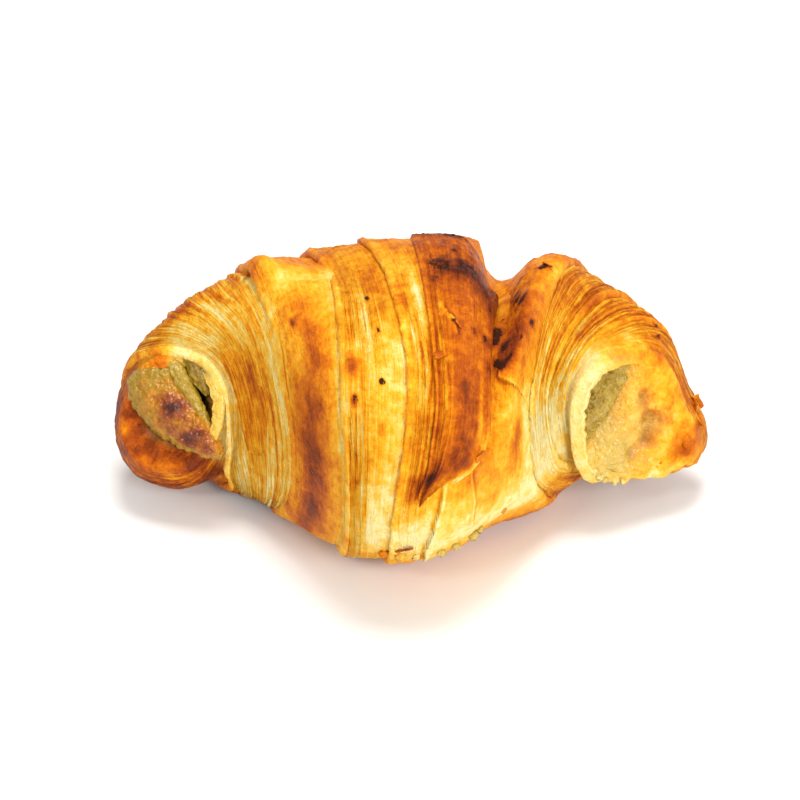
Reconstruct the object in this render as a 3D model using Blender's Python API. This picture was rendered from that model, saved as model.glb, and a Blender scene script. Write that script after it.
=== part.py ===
"""Pistachio-filled croissant, 148 mm long: a rolled, laminated pastry round a strip of pistachio filling.

A place on the roll is named by two numbers: "along", counted in stations from the left rim (0) to the
right rim (11), and "around", the angle round the roll in degrees, with 0 at the front, 90 on top,
180 at the back and 270 underneath. Both pieces are lofts: rings of points laid along the roll and
joined with faces. +Z is up, the front looks toward -Y and the origin is on the flat spot underneath.
"""

import bmesh
import bpy
import numpy as np

MM = 0.001                 # every length below is in millimetres, and is turned into metres at the end

# The roll, station by station: centre x, y and z, half its depth and half its height,
# then how far it has turned from +X toward +Y and how far its section leans back, in degrees
STATIONS = np.array([
    (-58.2, 2.0, 28.5, 14.2, 14.2, 65, -30),    # left rim
    (-57.8, 6.5, 25.5, 18.0, 18.0, 57, -20),    # left end of the horn
    (-53.0, 9.5, 26.0, 20.5, 20.5, 45, -10),    # left horn
    (-40.5, 7.0, 29.5, 29.0, 27.0, 25, -4),     # left shoulder
    (-23.5, 2.0, 31.3, 41.0, 31.8, 11, 0),
    (-5.0, -0.8, 33.0, 43.0, 34.0, 3, 0),       # middle of the belly
    (12.0, 0.5, 33.5, 40.5, 34.5, -2, 0),
    (21.5, 1.8, 29.8, 36.5, 29.2, -6, 0),       # valley beside the last wrap
    (33.0, 6.0, 31.0, 33.0, 31.0, -14, 4),      # right shoulder
    (45.0, 8.0, 29.0, 26.5, 23.0, -32, 12),
    (52.5, 6.5, 28.2, 19.2, 18.5, -52, 14),     # right end of the horn
    (52.5, -1.5, 29.0, 15.0, 16.5, -66, 16),    # right rim
])
LEFT_RIM = 0
RIGHT_RIM = len(STATIONS) - 1
SQUARENESS = 2.25          # 2 would make the sections true ellipses
AROUND_COUNT = 48
ANGLES = np.arange(AROUND_COUNT) * 360.0 / AROUND_COUNT
CREASE = 50.0              # an edge that turns more than this many degrees is shaded sharp

# Wrap edges from left to right: the line each one follows as (around, along) pairs, its height,
# its high side (+1 toward the right, -1 toward the left) and the stations over which it levels out
WRAP_EDGES = (
    ([(90, 0.40), (45, 0.40), (8, 0.60), (-16, 1.20), (-60, 2.40), (-110, 2.50), (-160, 1.60), (150, 0.80)],
     1.6, +1, 0.55),       # collar of the left mouth
    ([(94, 3.25), (60, 3.10), (36, 2.95), (16, 3.00), (-16, 3.10), (-60, 3.20), (-110, 3.40), (150, 3.40)],
     1.8, +1, 0.55),
    ([(104, 4.15), (90, 4.35), (54, 4.25), (38, 4.15), (-28, 4.10), (-110, 4.20), (170, 4.10)],
     2.0, +1, 0.45),
    ([(128, 4.75), (94, 5.00), (62, 5.20), (50, 5.25), (20, 5.15), (-2, 4.95), (-60, 4.85), (180, 4.80)],
     1.5, +1, 0.45),
    ([(110, 5.35), (64, 5.55), (36, 5.65), (12, 5.55), (-20, 5.40), (-90, 5.35), (180, 5.30)],
     0.8, +1, 0.45),       # last wrap, its left edge
    ([(128, 6.50), (86, 6.68), (54, 6.80), (26, 6.50), (12, 5.85), (-5, 6.05), (-40, 6.40), (180, 6.50)],
     5.0, -1, 0.30),       # last wrap, its right edge over the valley
    ([(104, 8.40), (62, 8.25), (46, 8.05), (6, 8.00), (-60, 8.10), (180, 8.40)],
     1.4, -1, 0.45),
    ([(110, 9.05), (82, 9.15), (50, 9.30), (0, 9.40), (-60, 9.30), (180, 9.10)],
     1.4, -1, 0.45),
    ([(110, 9.85), (60, 9.95), (0, 10.05), (-60, 10.00), (180, 9.90)],
     1.0, -1, 0.45),       # collar of the right mouth
)
LAST_WRAP = (4, 5)         # these two edges meet in the blunt tip of the dough, low on the front
TIP_TOP = 22.0             # the angle above which they have their full height
TIP_END = 5.0              # the angle at which they have died away
TAIL_START = 240.0         # underneath, they die away from here
TAIL_END = 290.0           # to here
LIP_SHARE = 0.5            # share of an edge's height that stands above the roll; the rest is a groove
HALF_STEP = 0.03           # stations from an edge's line to the top of its step, and to the foot
CORNER_BLUR = (-8, -4, 0, 4, 8)    # degrees over which the corners of an edge's line are averaged

# Rows of faces in each band between two edges, and how far every other row there stands out and in,
# where the cut layers of the dough show as ridges
BAND_ROWS = (2, 9, 5, 7, 3, 5, 6, 5, 4, 5)
BAND_RIDGES = (0.0, 0.30, 0.0, 0.20, 0.20, 0.0, 0.0, 0.30, 0.20, 0.0)

# Swellings and hollows: along, around, reach along, reach around in degrees, height
SWELLINGS = (
    (0.8, 258, 1.3, 40, 4.0),      # heel of the left horn
    (0.5, 150, 1.5, 45, -2.0),     # the back of the left horn is flatter
    (10.6, 215, 0.7, 24, 9.5),     # flaky toe of the right horn
    (11.0, 315, 0.9, 28, 2.5),     # inner corner of the right mouth
    (9.2, -65, 0.9, 32, -4.0),     # the underside rises from the belly to the right horn
    (7.6, -42, 1.3, 26, -4.5),     # the belly draws in toward the right horn
    (2.75, 104, 0.30, 12, -1.6),   # hollow under the lifted edge of the left horn's second wrap
    (6.1, -8, 0.6, 9, 1.2),        # fold of dough below the tip of the last wrap
    (5.5, 24, 0.5, 9, -0.8),       # dent above it
)

# The crust rolls over each rim: inset from the rim, and how far out of the mouth it bulges
RIM_ROLL = ((0.7, 0.7), (1.9, 0.7))

# The bore through the pastry, from the left mouth to the right one: along, half depth, half height,
# then how far its centre is moved forward along the roll, to the front and up
BORE = (
    (0, 11.8, 11.8, 0.0, 0.0, 0.0),
    (0, 11.5, 11.5, 2.5, 0.0, 0.0),
    (2, 8.0, 8.0, 0.0, -2.0, 0.0),         # throat behind the left mouth
    (3, 9.0, 7.5, 0.0, 0.0, 0.0),
    (4, 9.5, 6.5, 0.0, 0.0, 0.0),
    (5, 9.0, 6.0, 0.0, 0.0, 0.0),
    (6, 9.0, 6.0, 0.0, 0.0, 0.0),
    (7, 8.5, 6.0, 0.0, 0.0, 0.0),
    (8, 8.5, 6.0, 0.0, 0.0, 0.0),
    (9, 7.5, 6.5, 0.0, -3.0, 1.0),
    (11, 7.5, 10.0, -4.0, 3.0, 3.0),       # outline of the pocket in the right mouth
    (11, 9.5, 12.5, -2.2, 1.5, 1.5),
    (11, 12.0, 14.6, -0.4, 0.0, 0.2),
)
FILLED = slice(2, 10)      # the stretch of the bore that the filling fills
GAPS = (1.6, 0.7, 0.4, 0.4, 0.4, 0.4, 0.5, 0.9)    # clear space round it there, more where the bore slants

# The toasted lump of filling in the left mouth, from its tip inward, and the soft end in the right pocket,
# from the bore outward, in the columns of BORE
LEFT_LUMP = (
    (0, 3.4, 3.2, -3.6, -0.8, -1.6),
    (0, 6.8, 6.4, -3.0, -0.7, -1.4),
    (0, 9.0, 8.6, -1.6, -0.6, -1.2),
    (0, 10.0, 9.5, 0.6, -0.6, -1.0),
    (0, 9.9, 9.4, 2.5, -0.6, -0.9),
)
RIGHT_LUMP = (
    (11, 6.7, 9.2, -4.2, 3.0, 3.0),
    (11, 5.6, 7.8, -3.2, 3.0, 3.0),
    (11, 3.8, 5.4, -2.7, 3.0, 3.2),
    (11, 1.8, 2.6, -2.5, 3.0, 3.4),
)
LUMPINESS = 0.08           # share by which a lump's rings wander in and out
LUMP_WAVES = ((3, 1.7, 1.0), (5, 2.9, 0.6))        # waves round a ring, turn from ring to ring, strength


def catmull_rom(values, along):
    """A smooth curve through one column of the stations."""
    ends = 2 * values[0] - values[1], 2 * values[-1] - values[-2]
    padded = np.concatenate(([ends[0]], values, [ends[1]]))
    start = np.clip(np.floor(along).astype(int), 0, len(values) - 2)
    t = along - start
    before, here, after, beyond = (padded[start + k] for k in range(4))
    bend = 2 * before - 5 * here + 4 * after - beyond
    swing = 3 * (here - after) + beyond - before
    return here + 0.5 * t * (after - before + t * (bend + t * swing))


def edge_line(pairs):
    """Where a wrap edge runs at each of the angles; a short running average rounds off its corners."""
    around, along = np.array(pairs, dtype=float).T
    lines = [np.interp(ANGLES + turn, around, along, period=360) for turn in CORNER_BLUR]
    return sum(lines) / len(lines)


def smooth_rise(value, start, end):
    """0 up to start, 1 from end, and an S-curve between them."""
    t = np.clip((value - start) / (end - start), 0, 1)
    return t * t * (3 - 2 * t)


def last_wrap_fade():
    """How much of the last wrap's edges is left at each angle: none round its tip."""
    over_the_tip = smooth_rise(ANGLES, TIP_END, TIP_TOP)
    before_the_tail = 1 - smooth_rise(ANGLES, TAIL_START, TAIL_END)
    return over_the_tip * before_the_tail


def wrap_lift(along):
    """How far the wrap edges and swellings raise a row of points above the plain roll."""
    lift = np.zeros(AROUND_COUNT)
    for index, (pairs, height, side, reach) in enumerate(WRAP_EDGES):
        past = (along - edge_line(pairs)) * side
        share = np.where(past > 0, LIP_SHARE, LIP_SHARE - 1) * np.exp(-np.abs(past) / reach)
        fade = last_wrap_fade() if index in LAST_WRAP else 1.0
        lift += height * share * fade
    for centre_along, centre_around, reach_along, reach_around, height in SWELLINGS:
        turn = (ANGLES - centre_around + 180) % 360 - 180
        lift += height * np.exp(-((along - centre_along) / reach_along) ** 2 - (turn / reach_around) ** 2)
    return lift


def ring(along, half_depth, half_height, forward=0.0, to_front=0.0, up=0.0):
    """One closed ring of points, square to the roll; along may differ from angle to angle."""
    along = along + np.zeros(AROUND_COUNT)
    x, y, z, turn, lean = (catmull_rom(STATIONS[:, k], along) for k in (0, 1, 2, 5, 6))
    turn = np.radians(turn)
    lean = np.radians(lean)
    centre = np.stack([x, y, z], axis=1)
    ahead = np.stack([np.cos(turn), np.sin(turn), 0 * turn], axis=1)
    front = np.stack([np.sin(turn), -np.cos(turn), 0 * turn], axis=1)
    rising = np.array([0, 0, 1]) * np.cos(lean)[:, None] - ahead * np.sin(lean)[:, None]
    cosine = np.cos(np.radians(ANGLES))
    sine = np.sin(np.radians(ANGLES))
    across = np.sign(cosine) * np.abs(cosine) ** (2 / SQUARENESS) * half_depth + to_front
    height = np.sign(sine) * np.abs(sine) ** (2 / SQUARENESS) * half_height + up
    points = centre + ahead * forward + front * across[:, None] + rising * height[:, None]
    points[:, 2] = np.maximum(points[:, 2], 0)
    return points * MM


def skin_ring(along, extra=0.0, inset=0.0, forward=0.0):
    """A ring of the pastry's skin."""
    along = along + np.zeros(AROUND_COUNT)
    lift = wrap_lift(along) + extra - inset
    half_depth = catmull_rom(STATIONS[:, 3], along) + lift
    half_height = catmull_rom(STATIONS[:, 4], along) + lift
    return ring(along, half_depth, half_height, forward)


def skin_rings():
    """The skin from rim to rim: its rows follow the wrap edges, with one on each side of every step."""
    left = np.full(AROUND_COUNT, LEFT_RIM - HALF_STEP)
    right = np.full(AROUND_COUNT, RIGHT_RIM + HALF_STEP)
    guides = [left] + [edge_line(edge[0]) for edge in WRAP_EDGES] + [right]
    rings = []
    for band, (rows, ridge) in enumerate(zip(BAND_ROWS, BAND_RIDGES)):
        start = guides[band] + HALF_STEP
        end = guides[band + 1] - HALF_STEP
        for row in range(rows + 1):
            inside = 0 < row < rows
            extra = ridge * (-1) ** row if inside else 0.0
            rings.append(skin_ring(start + (end - start) * row / rows, extra))
    return rings


def rim_rings(along, outward):
    """The crust rolled over one rim, from the skin inward; outward is the way out along the roll."""
    return [skin_ring(along, inset=inset, forward=outward * bulge) for inset, bulge in RIM_ROLL]


def lumpy_ring(row, number):
    """A ring of a lump of filling, wandering in and out by a rule."""
    along, half_depth, half_height, forward, to_front, up = row
    wander = np.zeros(AROUND_COUNT)
    for waves, turn, strength in LUMP_WAVES:
        wander += strength * np.sin(np.radians(waves * ANGLES) + turn * number)
    swell = 1 - LUMPINESS * (1 + wander) / 2
    return ring(along, half_depth * swell, half_height * swell, forward, to_front, up)


def join_rings(bm, rings, closed):
    """Faces between each ring and the next; closed joins the last ring back to the first."""
    loops = [[bm.verts.new(point) for point in points] for points in rings]
    following = loops[1:] + loops[:1] if closed else loops[1:]
    for here, there in zip(loops, following):
        for k in range(AROUND_COUNT):
            after = (k + 1) % AROUND_COUNT
            bm.faces.new((here[k], here[after], there[after], there[k]))
    return loops


def close_end(bm, loop):
    """A fan of triangles from the middle of an open ring."""
    middle = sum((vert.co for vert in loop), loop[0].co * 0) / len(loop)
    tip = bm.verts.new(middle)
    for k in range(AROUND_COUNT):
        bm.faces.new((loop[k], loop[(k + 1) % AROUND_COUNT], tip))


def add_object(name, bm, color, roughness):
    """The finished mesh as an object with its own material."""
    bmesh.ops.recalc_face_normals(bm, faces=bm.faces)
    mesh = bpy.data.meshes.new(name)
    bm.to_mesh(mesh)
    bm.free()
    mesh.shade_smooth()
    mesh.set_sharp_from_angle(angle=np.radians(CREASE))
    material = bpy.data.materials.new(name)
    material.use_nodes = True
    shader = material.node_tree.nodes["Principled BSDF"]
    shader.inputs["Base Color"].default_value = (*color, 1.0)
    shader.inputs["Roughness"].default_value = roughness
    mesh.materials.append(material)
    result = bpy.data.objects.new(name, mesh)
    bpy.context.scene.collection.objects.link(result)
    return result


def build_pastry():
    """The rolled dough: skin, rims and bore are one closed surface."""
    bore = [ring(*row) for row in BORE]
    rings = skin_rings() + rim_rings(RIGHT_RIM, 1) + bore[::-1] + rim_rings(LEFT_RIM, -1)[::-1]
    bm = bmesh.new()
    join_rings(bm, rings, closed=True)
    add_object("pastry", bm, color=(0.72, 0.36, 0.08), roughness=0.5)


def build_filling():
    """The strip of pistachio filling: it fills the bore and shows as a lump in each mouth."""
    left = [lumpy_ring(row, number) for number, row in enumerate(LEFT_LUMP)]
    strip = [ring(row[0], row[1] - gap, row[2] - gap, *row[3:]) for row, gap in zip(BORE[FILLED], GAPS)]
    right = [lumpy_ring(row, number) for number, row in enumerate(RIGHT_LUMP)]
    bm = bmesh.new()
    loops = join_rings(bm, left + strip + right, closed=False)
    close_end(bm, loops[0])
    close_end(bm, loops[-1])
    add_object("pistachio_filling", bm, color=(0.36, 0.33, 0.10), roughness=0.35)


for old in list(bpy.data.objects):
    bpy.data.objects.remove(old, do_unlink=True)

build_pastry()
build_filling()
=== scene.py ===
# %% [markdown]
# # A pistachio-filled croissant
# A croissant is one long triangle of layered dough, rolled up from its wide side. Its wraps overlap like
# the turns of a scarf, and the tip of the triangle ends up as a tongue over the middle. This one was
# filled with pistachio paste, which shows as a toasted lump in the left end and as a moist green pocket
# in the right end. The lesson builds it as it was rolled: wrap by wrap, then the paste, then the crumbs.

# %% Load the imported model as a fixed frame
import math

import bpy
import numpy as np
from mathutils import Matrix, Vector


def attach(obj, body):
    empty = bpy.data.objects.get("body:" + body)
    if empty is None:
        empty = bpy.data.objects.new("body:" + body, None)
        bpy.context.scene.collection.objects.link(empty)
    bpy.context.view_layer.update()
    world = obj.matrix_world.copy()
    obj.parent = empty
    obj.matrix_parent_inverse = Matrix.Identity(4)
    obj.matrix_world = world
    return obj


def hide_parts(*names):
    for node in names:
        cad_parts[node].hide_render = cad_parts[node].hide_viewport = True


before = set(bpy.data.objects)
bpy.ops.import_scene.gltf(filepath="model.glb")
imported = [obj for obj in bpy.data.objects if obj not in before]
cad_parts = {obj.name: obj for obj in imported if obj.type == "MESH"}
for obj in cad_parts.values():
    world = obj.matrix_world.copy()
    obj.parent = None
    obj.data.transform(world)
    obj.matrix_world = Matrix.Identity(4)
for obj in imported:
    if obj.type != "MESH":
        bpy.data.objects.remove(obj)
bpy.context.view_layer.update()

MM = 0.001        # every length below is in millimetres until it goes into a mesh

# %% [markdown]
# ## The plain roll
# First the shape without any wraps: a fat roll that is bent like a bow and thins toward both ends. By hand
# one would extrude a circle from station to station and turn and resize it each time. Here the stations
# are a table, and a smooth curve runs through each column, because every wrap later needs to know where
# the roll is at any point. A place on it has two numbers: "along", counted in stations from the left rim,
# and "around", in degrees: 0 at the front, 90 on top, 180 at the back and 270 underneath.

# %% The stations and a point on the roll
STATIONS = np.array([
    # x, y, z, half depth, half height, turn from +X toward +Y, lean
    (-58.2, 2.0, 28.5, 14.2, 14.2, 65, -30),    # left rim
    (-57.8, 6.5, 25.5, 18.0, 18.0, 57, -20),    # left end of the horn
    (-53.0, 9.5, 26.0, 20.5, 20.5, 45, -10),    # left horn
    (-40.5, 7.0, 29.5, 29.0, 27.0, 25, -4),     # left shoulder
    (-23.5, 2.0, 31.3, 41.0, 31.8, 11, 0),
    (-5.0, -0.8, 33.0, 43.0, 34.0, 3, 0),       # middle of the belly
    (12.0, 0.5, 33.5, 40.5, 34.5, -2, 0),
    (21.5, 1.8, 29.8, 36.5, 29.2, -6, 0),       # valley beside the tongue
    (33.0, 6.0, 31.0, 33.0, 31.0, -14, 4),      # right shoulder
    (45.0, 8.0, 29.0, 26.5, 23.0, -32, 12),
    (52.5, 6.5, 28.2, 19.2, 18.5, -52, 14),     # right end of the horn
    (52.5, -1.5, 29.0, 15.0, 16.5, -66, 16),    # right rim
])
RIGHT_RIM = len(STATIONS) - 1
SQUARENESS = 2.25          # 2 would make the sections true ellipses
TABLE_TOP = 0.02           # nothing reaches lower than this above the floor


def curve_through(values, at):
    """A smooth curve through numbers, or rows of numbers, that stand at 0, 1, 2 and so on."""
    padded = np.concatenate(([2 * values[0] - values[1]], values, [2 * values[-1] - values[-2]]))
    start = np.clip(np.floor(at).astype(int), 0, len(values) - 2)
    t = np.reshape(at - start, np.shape(at) + (1,) * (values.ndim - 1))
    before, here, after, beyond = (padded[start + k] for k in range(4))
    bend = 2 * before - 5 * here + 4 * after - beyond
    swing = 3 * (here - after) + beyond - before
    return here + 0.5 * t * (after - before + t * (bend + t * swing))


def through_stations(column, along):
    """One column of the stations, read at any place along the roll."""
    return curve_through(STATIONS[:, column], along)


def section_point(along, around, half_depth, half_height, forward=0.0, to_front=0.0, up=0.0):
    """Points in millimetres on sections of any size, square to the roll."""
    x, y, z = (through_stations(column, along) for column in (0, 1, 2))
    turn, lean = (np.radians(through_stations(column, along)) for column in (5, 6))
    nothing = np.zeros_like(turn)
    ahead = np.stack([np.cos(turn), np.sin(turn), nothing], axis=-1)
    front = np.stack([np.sin(turn), -np.cos(turn), nothing], axis=-1)
    rising = np.array([0, 0, 1]) * np.cos(lean)[..., None] - ahead * np.sin(lean)[..., None]
    cosine, sine = np.cos(np.radians(around)), np.sin(np.radians(around))
    across = np.sign(cosine) * np.abs(cosine) ** (2 / SQUARENESS) * half_depth + to_front
    height = np.sign(sine) * np.abs(sine) ** (2 / SQUARENESS) * half_height + up
    forward = (forward + nothing)[..., None]
    points = np.stack([x, y, z], axis=-1) + ahead * forward + front * across[..., None]
    points = points + rising * height[..., None]
    points[..., 2] = np.maximum(points[..., 2], TABLE_TOP)
    return points


def roll_point(along, around, lift=0.0, forward=0.0):
    """Points on the plain roll, raised by lift."""
    half_depth = through_stations(3, along) + lift
    half_height = through_stations(4, along) + lift
    return section_point(along, around, half_depth, half_height, forward)


middle = roll_point(np.array([5.0]), np.array([90.0]))[0]
print("top of the belly, in mm:", middle.round(1))

# %% [markdown]
# ## Where the wraps end
# Each wrap ends in an edge that steps down toward the nearer horn. The edges wander, so each one is a line
# of pairs: around in degrees, then along in stations. Its height, the side that lies on top (+1 is the
# right one) and the reach over which the step levels out go with it. The solids step at nearly the same
# places, so the dressed croissant lies close around them.

# %% The edges
EDGES = {
    # the line; then the height in millimetres, the side on top and the reach in stations
    "left collar": ([
        (115, 0.1), (90, 0.02), (45, 0.02), (8, 0.25), (-16, 1.05), (-60, 2.4), (-110, 2.5), (-160, 1.6),
        (150, 0.8)], 1.6, +1, 0.55),
    "horn line": ([
        (94, 3.25), (60, 3.1), (36, 2.95), (16, 3.0), (-16, 3.1), (-60, 3.2), (-110, 3.4),
        (150, 3.4)], 1.8, +1, 0.55),
    "shoulder line": ([
        (104, 4.34), (90, 4.35), (54, 4.25), (38, 4.15), (-28, 4.1), (-110, 4.2),
        (170, 4.1)], 2.0, +1, 0.45),
    "belly line": ([
        (128, 4.75), (94, 5.0), (62, 5.2), (50, 5.25), (20, 5.15), (-2, 4.95), (-60, 4.85),
        (180, 4.8)], 1.5, +1, 0.45),
    "tongue left": ([
        (110, 5.35), (64, 5.55), (36, 5.65), (12, 5.5), (-20, 5.4), (-90, 5.35),
        (180, 5.3)], 0.8, +1, 0.45),
    "tongue right": ([
        (130, 6.28), (118, 6.6), (108, 6.82), (98, 6.84), (86, 6.78), (54, 6.84), (30, 6.98), (21, 6.95),
        (16, 6.7), (10, 6.42), (6, 6.12), (2, 5.72), (-2, 5.4), (-40, 6.4), (180, 6.2)], 5.0, -1, 0.3),
    "right shoulder line": ([
        (104, 8.28), (84, 8.38), (62, 8.5), (44, 8.6), (16, 8.6), (-20, 8.4), (-60, 8.2),
        (180, 8.4)], 1.4, -1, 0.45),
    "right horn line": ([
        (110, 9.05), (82, 9.15), (50, 9.3), (0, 9.4), (-60, 9.3), (180, 9.1)], 1.4, -1, 0.45),
    "right collar": ([
        (110, 9.85), (60, 9.95), (0, 10.05), (-60, 10.0), (180, 9.9)], 1.0, -1, 0.45),
}
EDGE_ORDER = list(EDGES)
LIP_SHARE = 0.5            # share of an edge's height above the roll; the rest is a groove
CORNER_BLUR = (-8, -4, 0, 4, 8)


def edge_at(name, around):
    """Where an edge runs, in stations, at these angles."""
    angle, along = np.array(EDGES[name][0], dtype=float).T
    return sum(np.interp(around + turn, angle, along, period=360) for turn in CORNER_BLUR) / len(CORNER_BLUR)


def smooth_rise(value, start, end):
    """0 up to start, 1 from end, and an S-curve between them."""
    t = np.clip((value - start) / (end - start), 0, 1)
    return t * t * (3 - 2 * t)


print("wrap edges from left to right:", ", ".join(EDGE_ORDER))

# %% [markdown]
# ## Swellings and hollows
# The heel under the left horn, the flaky toe of the right one and the places where the belly draws in are
# too large to be texture and too small for a station of their own. Each is a soft bump on the roll.

# %% The swellings
SWELLINGS = (
    # along, around, reach along, reach around in degrees, height
    (0.8, 258, 1.3, 40, 4.0),      # heel of the left horn
    (0.5, 150, 1.5, 45, -2.0),     # the back of the left horn is flatter
    (10.6, 215, 0.7, 24, 9.5),     # toe of the right horn
    (11.0, 315, 0.9, 28, 2.5),     # inner corner of the right mouth
    (9.2, -65, 0.9, 32, -4.0),     # the underside rises from the belly to the right horn
    (7.6, -42, 1.3, 26, -4.5),     # the belly draws in toward the right horn
    (2.75, 104, 0.3, 12, -1.6),   # hollow under the lifted edge of the horn line
    (3.45, 101, 0.22, 9, 1.6),     # the lifted edge itself, with a shred of dough on it
    (4.7, 98, 0.35, 16, -1.2),     # the roll is flatter between the middle wraps
    (7.12, 96, 0.42, 28, -3.0),    # bottom of the valley
    (6.75, 120, 0.32, 24, -6.5),   # the roll falls away behind the burnt top
    (4.2, 119, 0.3, 20, -2.6),   # and dips behind the second wrap
    (7.42, 106, 0.22, 18, 1.8),    # the right shoulder rises straight out of the valley
    (10.9, 246, 0.6, 26, 3.0),     # the toe hangs lower than the mouth
    (6.1, -8, 0.6, 9, 1.2),        # fold of dough below the tip of the tongue
    (5.5, 24, 0.5, 9, -0.8),       # dent above it
)


def turned(around, centre):
    """The way from one angle to others, in degrees from -180 to 180."""
    return (around - centre + 180) % 360 - 180


def soft_spot(along, around, centre_along, centre_around, reach_along, reach_around):
    """1 in the middle of a spot, fading to 0 beyond its reach."""
    return np.exp(-((along - centre_along) / reach_along) ** 2
                  - (turned(around, centre_around) / reach_around) ** 2)


def swelling_lift(along, around):
    """How far the swellings raise the roll."""
    return sum(height * soft_spot(along, around, *spot) for *spot, height in SWELLINGS)


def pressed_flat(along, around):
    """Edges lie flat on the inside of the right bend and beside the left mouth: 0 there, 1 elsewhere."""
    bend = 0.8 * soft_spot(along, around, 9.7, 8, 0.9, 42)
    wall = 0.6 * soft_spot(along, around, 0.2, 22, 1.0, 60)
    return (1 - bend) * (1 - wall)


def crease(along, around):
    """Inside the right bend the skin looks along the roll, so heights go that way too: 0 to 1."""
    return 0.9 * soft_spot(along, around, 9.7, 8, 0.6, 42)


def edge_lift(along, around, left_edges, right_edges):
    """How far the edges on either side raise or sink a wrap, as if the wrap ran on under its neighbours."""
    lift = np.zeros(np.broadcast(along, around).shape)
    for names, low, high in ((left_edges, 0.0, np.inf), (right_edges, -np.inf, 0.0)):
        for name in names:
            height, side, reach = EDGES[name][1:]
            past = np.clip(along - edge_at(name, around), low, high)
            on_top = (side > 0) == (low == 0.0)
            lift += height * (LIP_SHARE if on_top else LIP_SHARE - 1) * np.exp(-np.abs(past) / reach)
    return lift * pressed_flat(along, around)


print("largest swelling, in mm:", max(height for *_, height in SWELLINGS))

# %% [markdown]
# ## Randomness that is the same each time
# Baked dough is uneven at every scale. Blender's Displace modifier could push a finished mesh about, but
# here the same unevenness also has to colour the crust, so the bumps are worked out as numbers first: a
# block of random values with smooth passages between them. The seed fixes them for every run.

# %% Smooth random bumps
BLOCK = 32


def rumple(points, size, seed):
    """Smooth bumps from -1 to 1, about one for each size, at each of the points."""
    block = np.random.default_rng(seed).uniform(-1, 1, (BLOCK, BLOCK, BLOCK))
    scaled = points / np.asarray(size, dtype=float)
    cell = np.floor(scaled).astype(int)
    t = scaled - cell
    t = t * t * (3 - 2 * t)
    total = np.zeros(points.shape[:-1])
    for corner in np.ndindex(2, 2, 2):
        weight = np.prod(np.where(np.array(corner) == 1, t, 1 - t), axis=-1)
        at = (cell + np.array(corner)) % BLOCK
        total += weight * block[at[..., 0], at[..., 1], at[..., 2]]
    return total


def rumple_round(across, around, cells, seed):
    """The same bumps laid round a wrap: one for each unit across it, and that many cells on the way."""
    angle = np.radians(around)
    radius = cells / (2 * math.pi)
    across, angle = np.broadcast_arrays(across, angle)
    return rumple(np.stack([across, radius * np.cos(angle), radius * np.sin(angle)], axis=-1), 1.0, seed)


print("a bump:", rumple(np.array([[0.5, 0.5, 0.5]]), 1.0, seed=1).round(3))

# %% [markdown]
# ## From a torus to a wrap
# A wrap is a closed ring of dough with an outer skin, a rounded lip where it ends, and an inner side that
# nobody sees. That is a flattened torus, so a torus primitive is added: its large angle becomes the way
# round the roll, and its small angle the way across the skin, over the lip and back inside. Extruding
# rings by hand would give the same faces, but the rows have to follow edges that wander from angle to
# angle, so each point is laid by its two angles.

# %% Helpers for meshes
def deselect_all():
    if bpy.context.object and bpy.context.object.mode != "OBJECT":
        bpy.ops.object.mode_set(mode="OBJECT")
    bpy.ops.object.select_all(action="DESELECT")


def points_of(piece):
    """The corners of a piece's mesh as an array, in metres."""
    flat = np.empty(len(piece.data.vertices) * 3)
    piece.data.vertices.foreach_get("co", flat)
    return flat.reshape(-1, 3)


def move_points(piece, points):
    piece.data.vertices.foreach_set("co", np.ascontiguousarray(points, dtype=float).ravel())
    piece.data.update()


def paint(piece, values):
    """Stores one number for each corner under each name, for the materials to read."""
    for name, numbers in values.items():
        attribute = piece.data.attributes.new(name, "FLOAT", "POINT")
        attribute.data.foreach_set("value", np.ascontiguousarray(numbers, dtype=np.float32))


def finish_mesh(piece):
    """Faces outward and smooth shading."""
    bpy.ops.object.mode_set(mode="EDIT")
    bpy.ops.mesh.select_all(action="SELECT")
    bpy.ops.mesh.normals_make_consistent(inside=False)
    bpy.ops.object.mode_set(mode="OBJECT")
    bpy.ops.object.shade_smooth()
    print(f"{piece.name}: {len(piece.data.polygons)} faces")
    return piece


def add_piece(name, primitive, **settings):
    """A new primitive under its own name, with nothing else selected."""
    deselect_all()
    primitive(**settings)
    piece = bpy.context.object
    piece.name = piece.data.name = name
    return piece


def put_in_scene(name, data):
    """An object for a mesh, a light or a camera that has none yet."""
    thing = bpy.data.objects.new(name, data)
    bpy.context.scene.collection.objects.link(thing)
    return thing


def step_of(angle, steps):
    """Which of the equal steps round a circle an angle lies on."""
    return np.rint(angle / (2 * math.pi) * steps).astype(int) % steps


def ring_of_dough(name, points, values):
    """A torus primitive laid on a grid of points: rows across the wrap, columns round the roll."""
    rows, columns = points.shape[:2]
    piece = add_piece(name, bpy.ops.mesh.primitive_torus_add, major_segments=columns, minor_segments=rows,
                      major_radius=1.0, minor_radius=0.25)
    x, y, z = points_of(piece).T
    column = step_of(np.arctan2(y, x), columns)
    row = step_of(np.arctan2(z, np.hypot(x, y) - 1.0), rows)
    move_points(piece, points[row, column] * MM)
    paint(piece, {key: grid[row, column] for key, grid in values.items()})
    return finish_mesh(piece)
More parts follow.
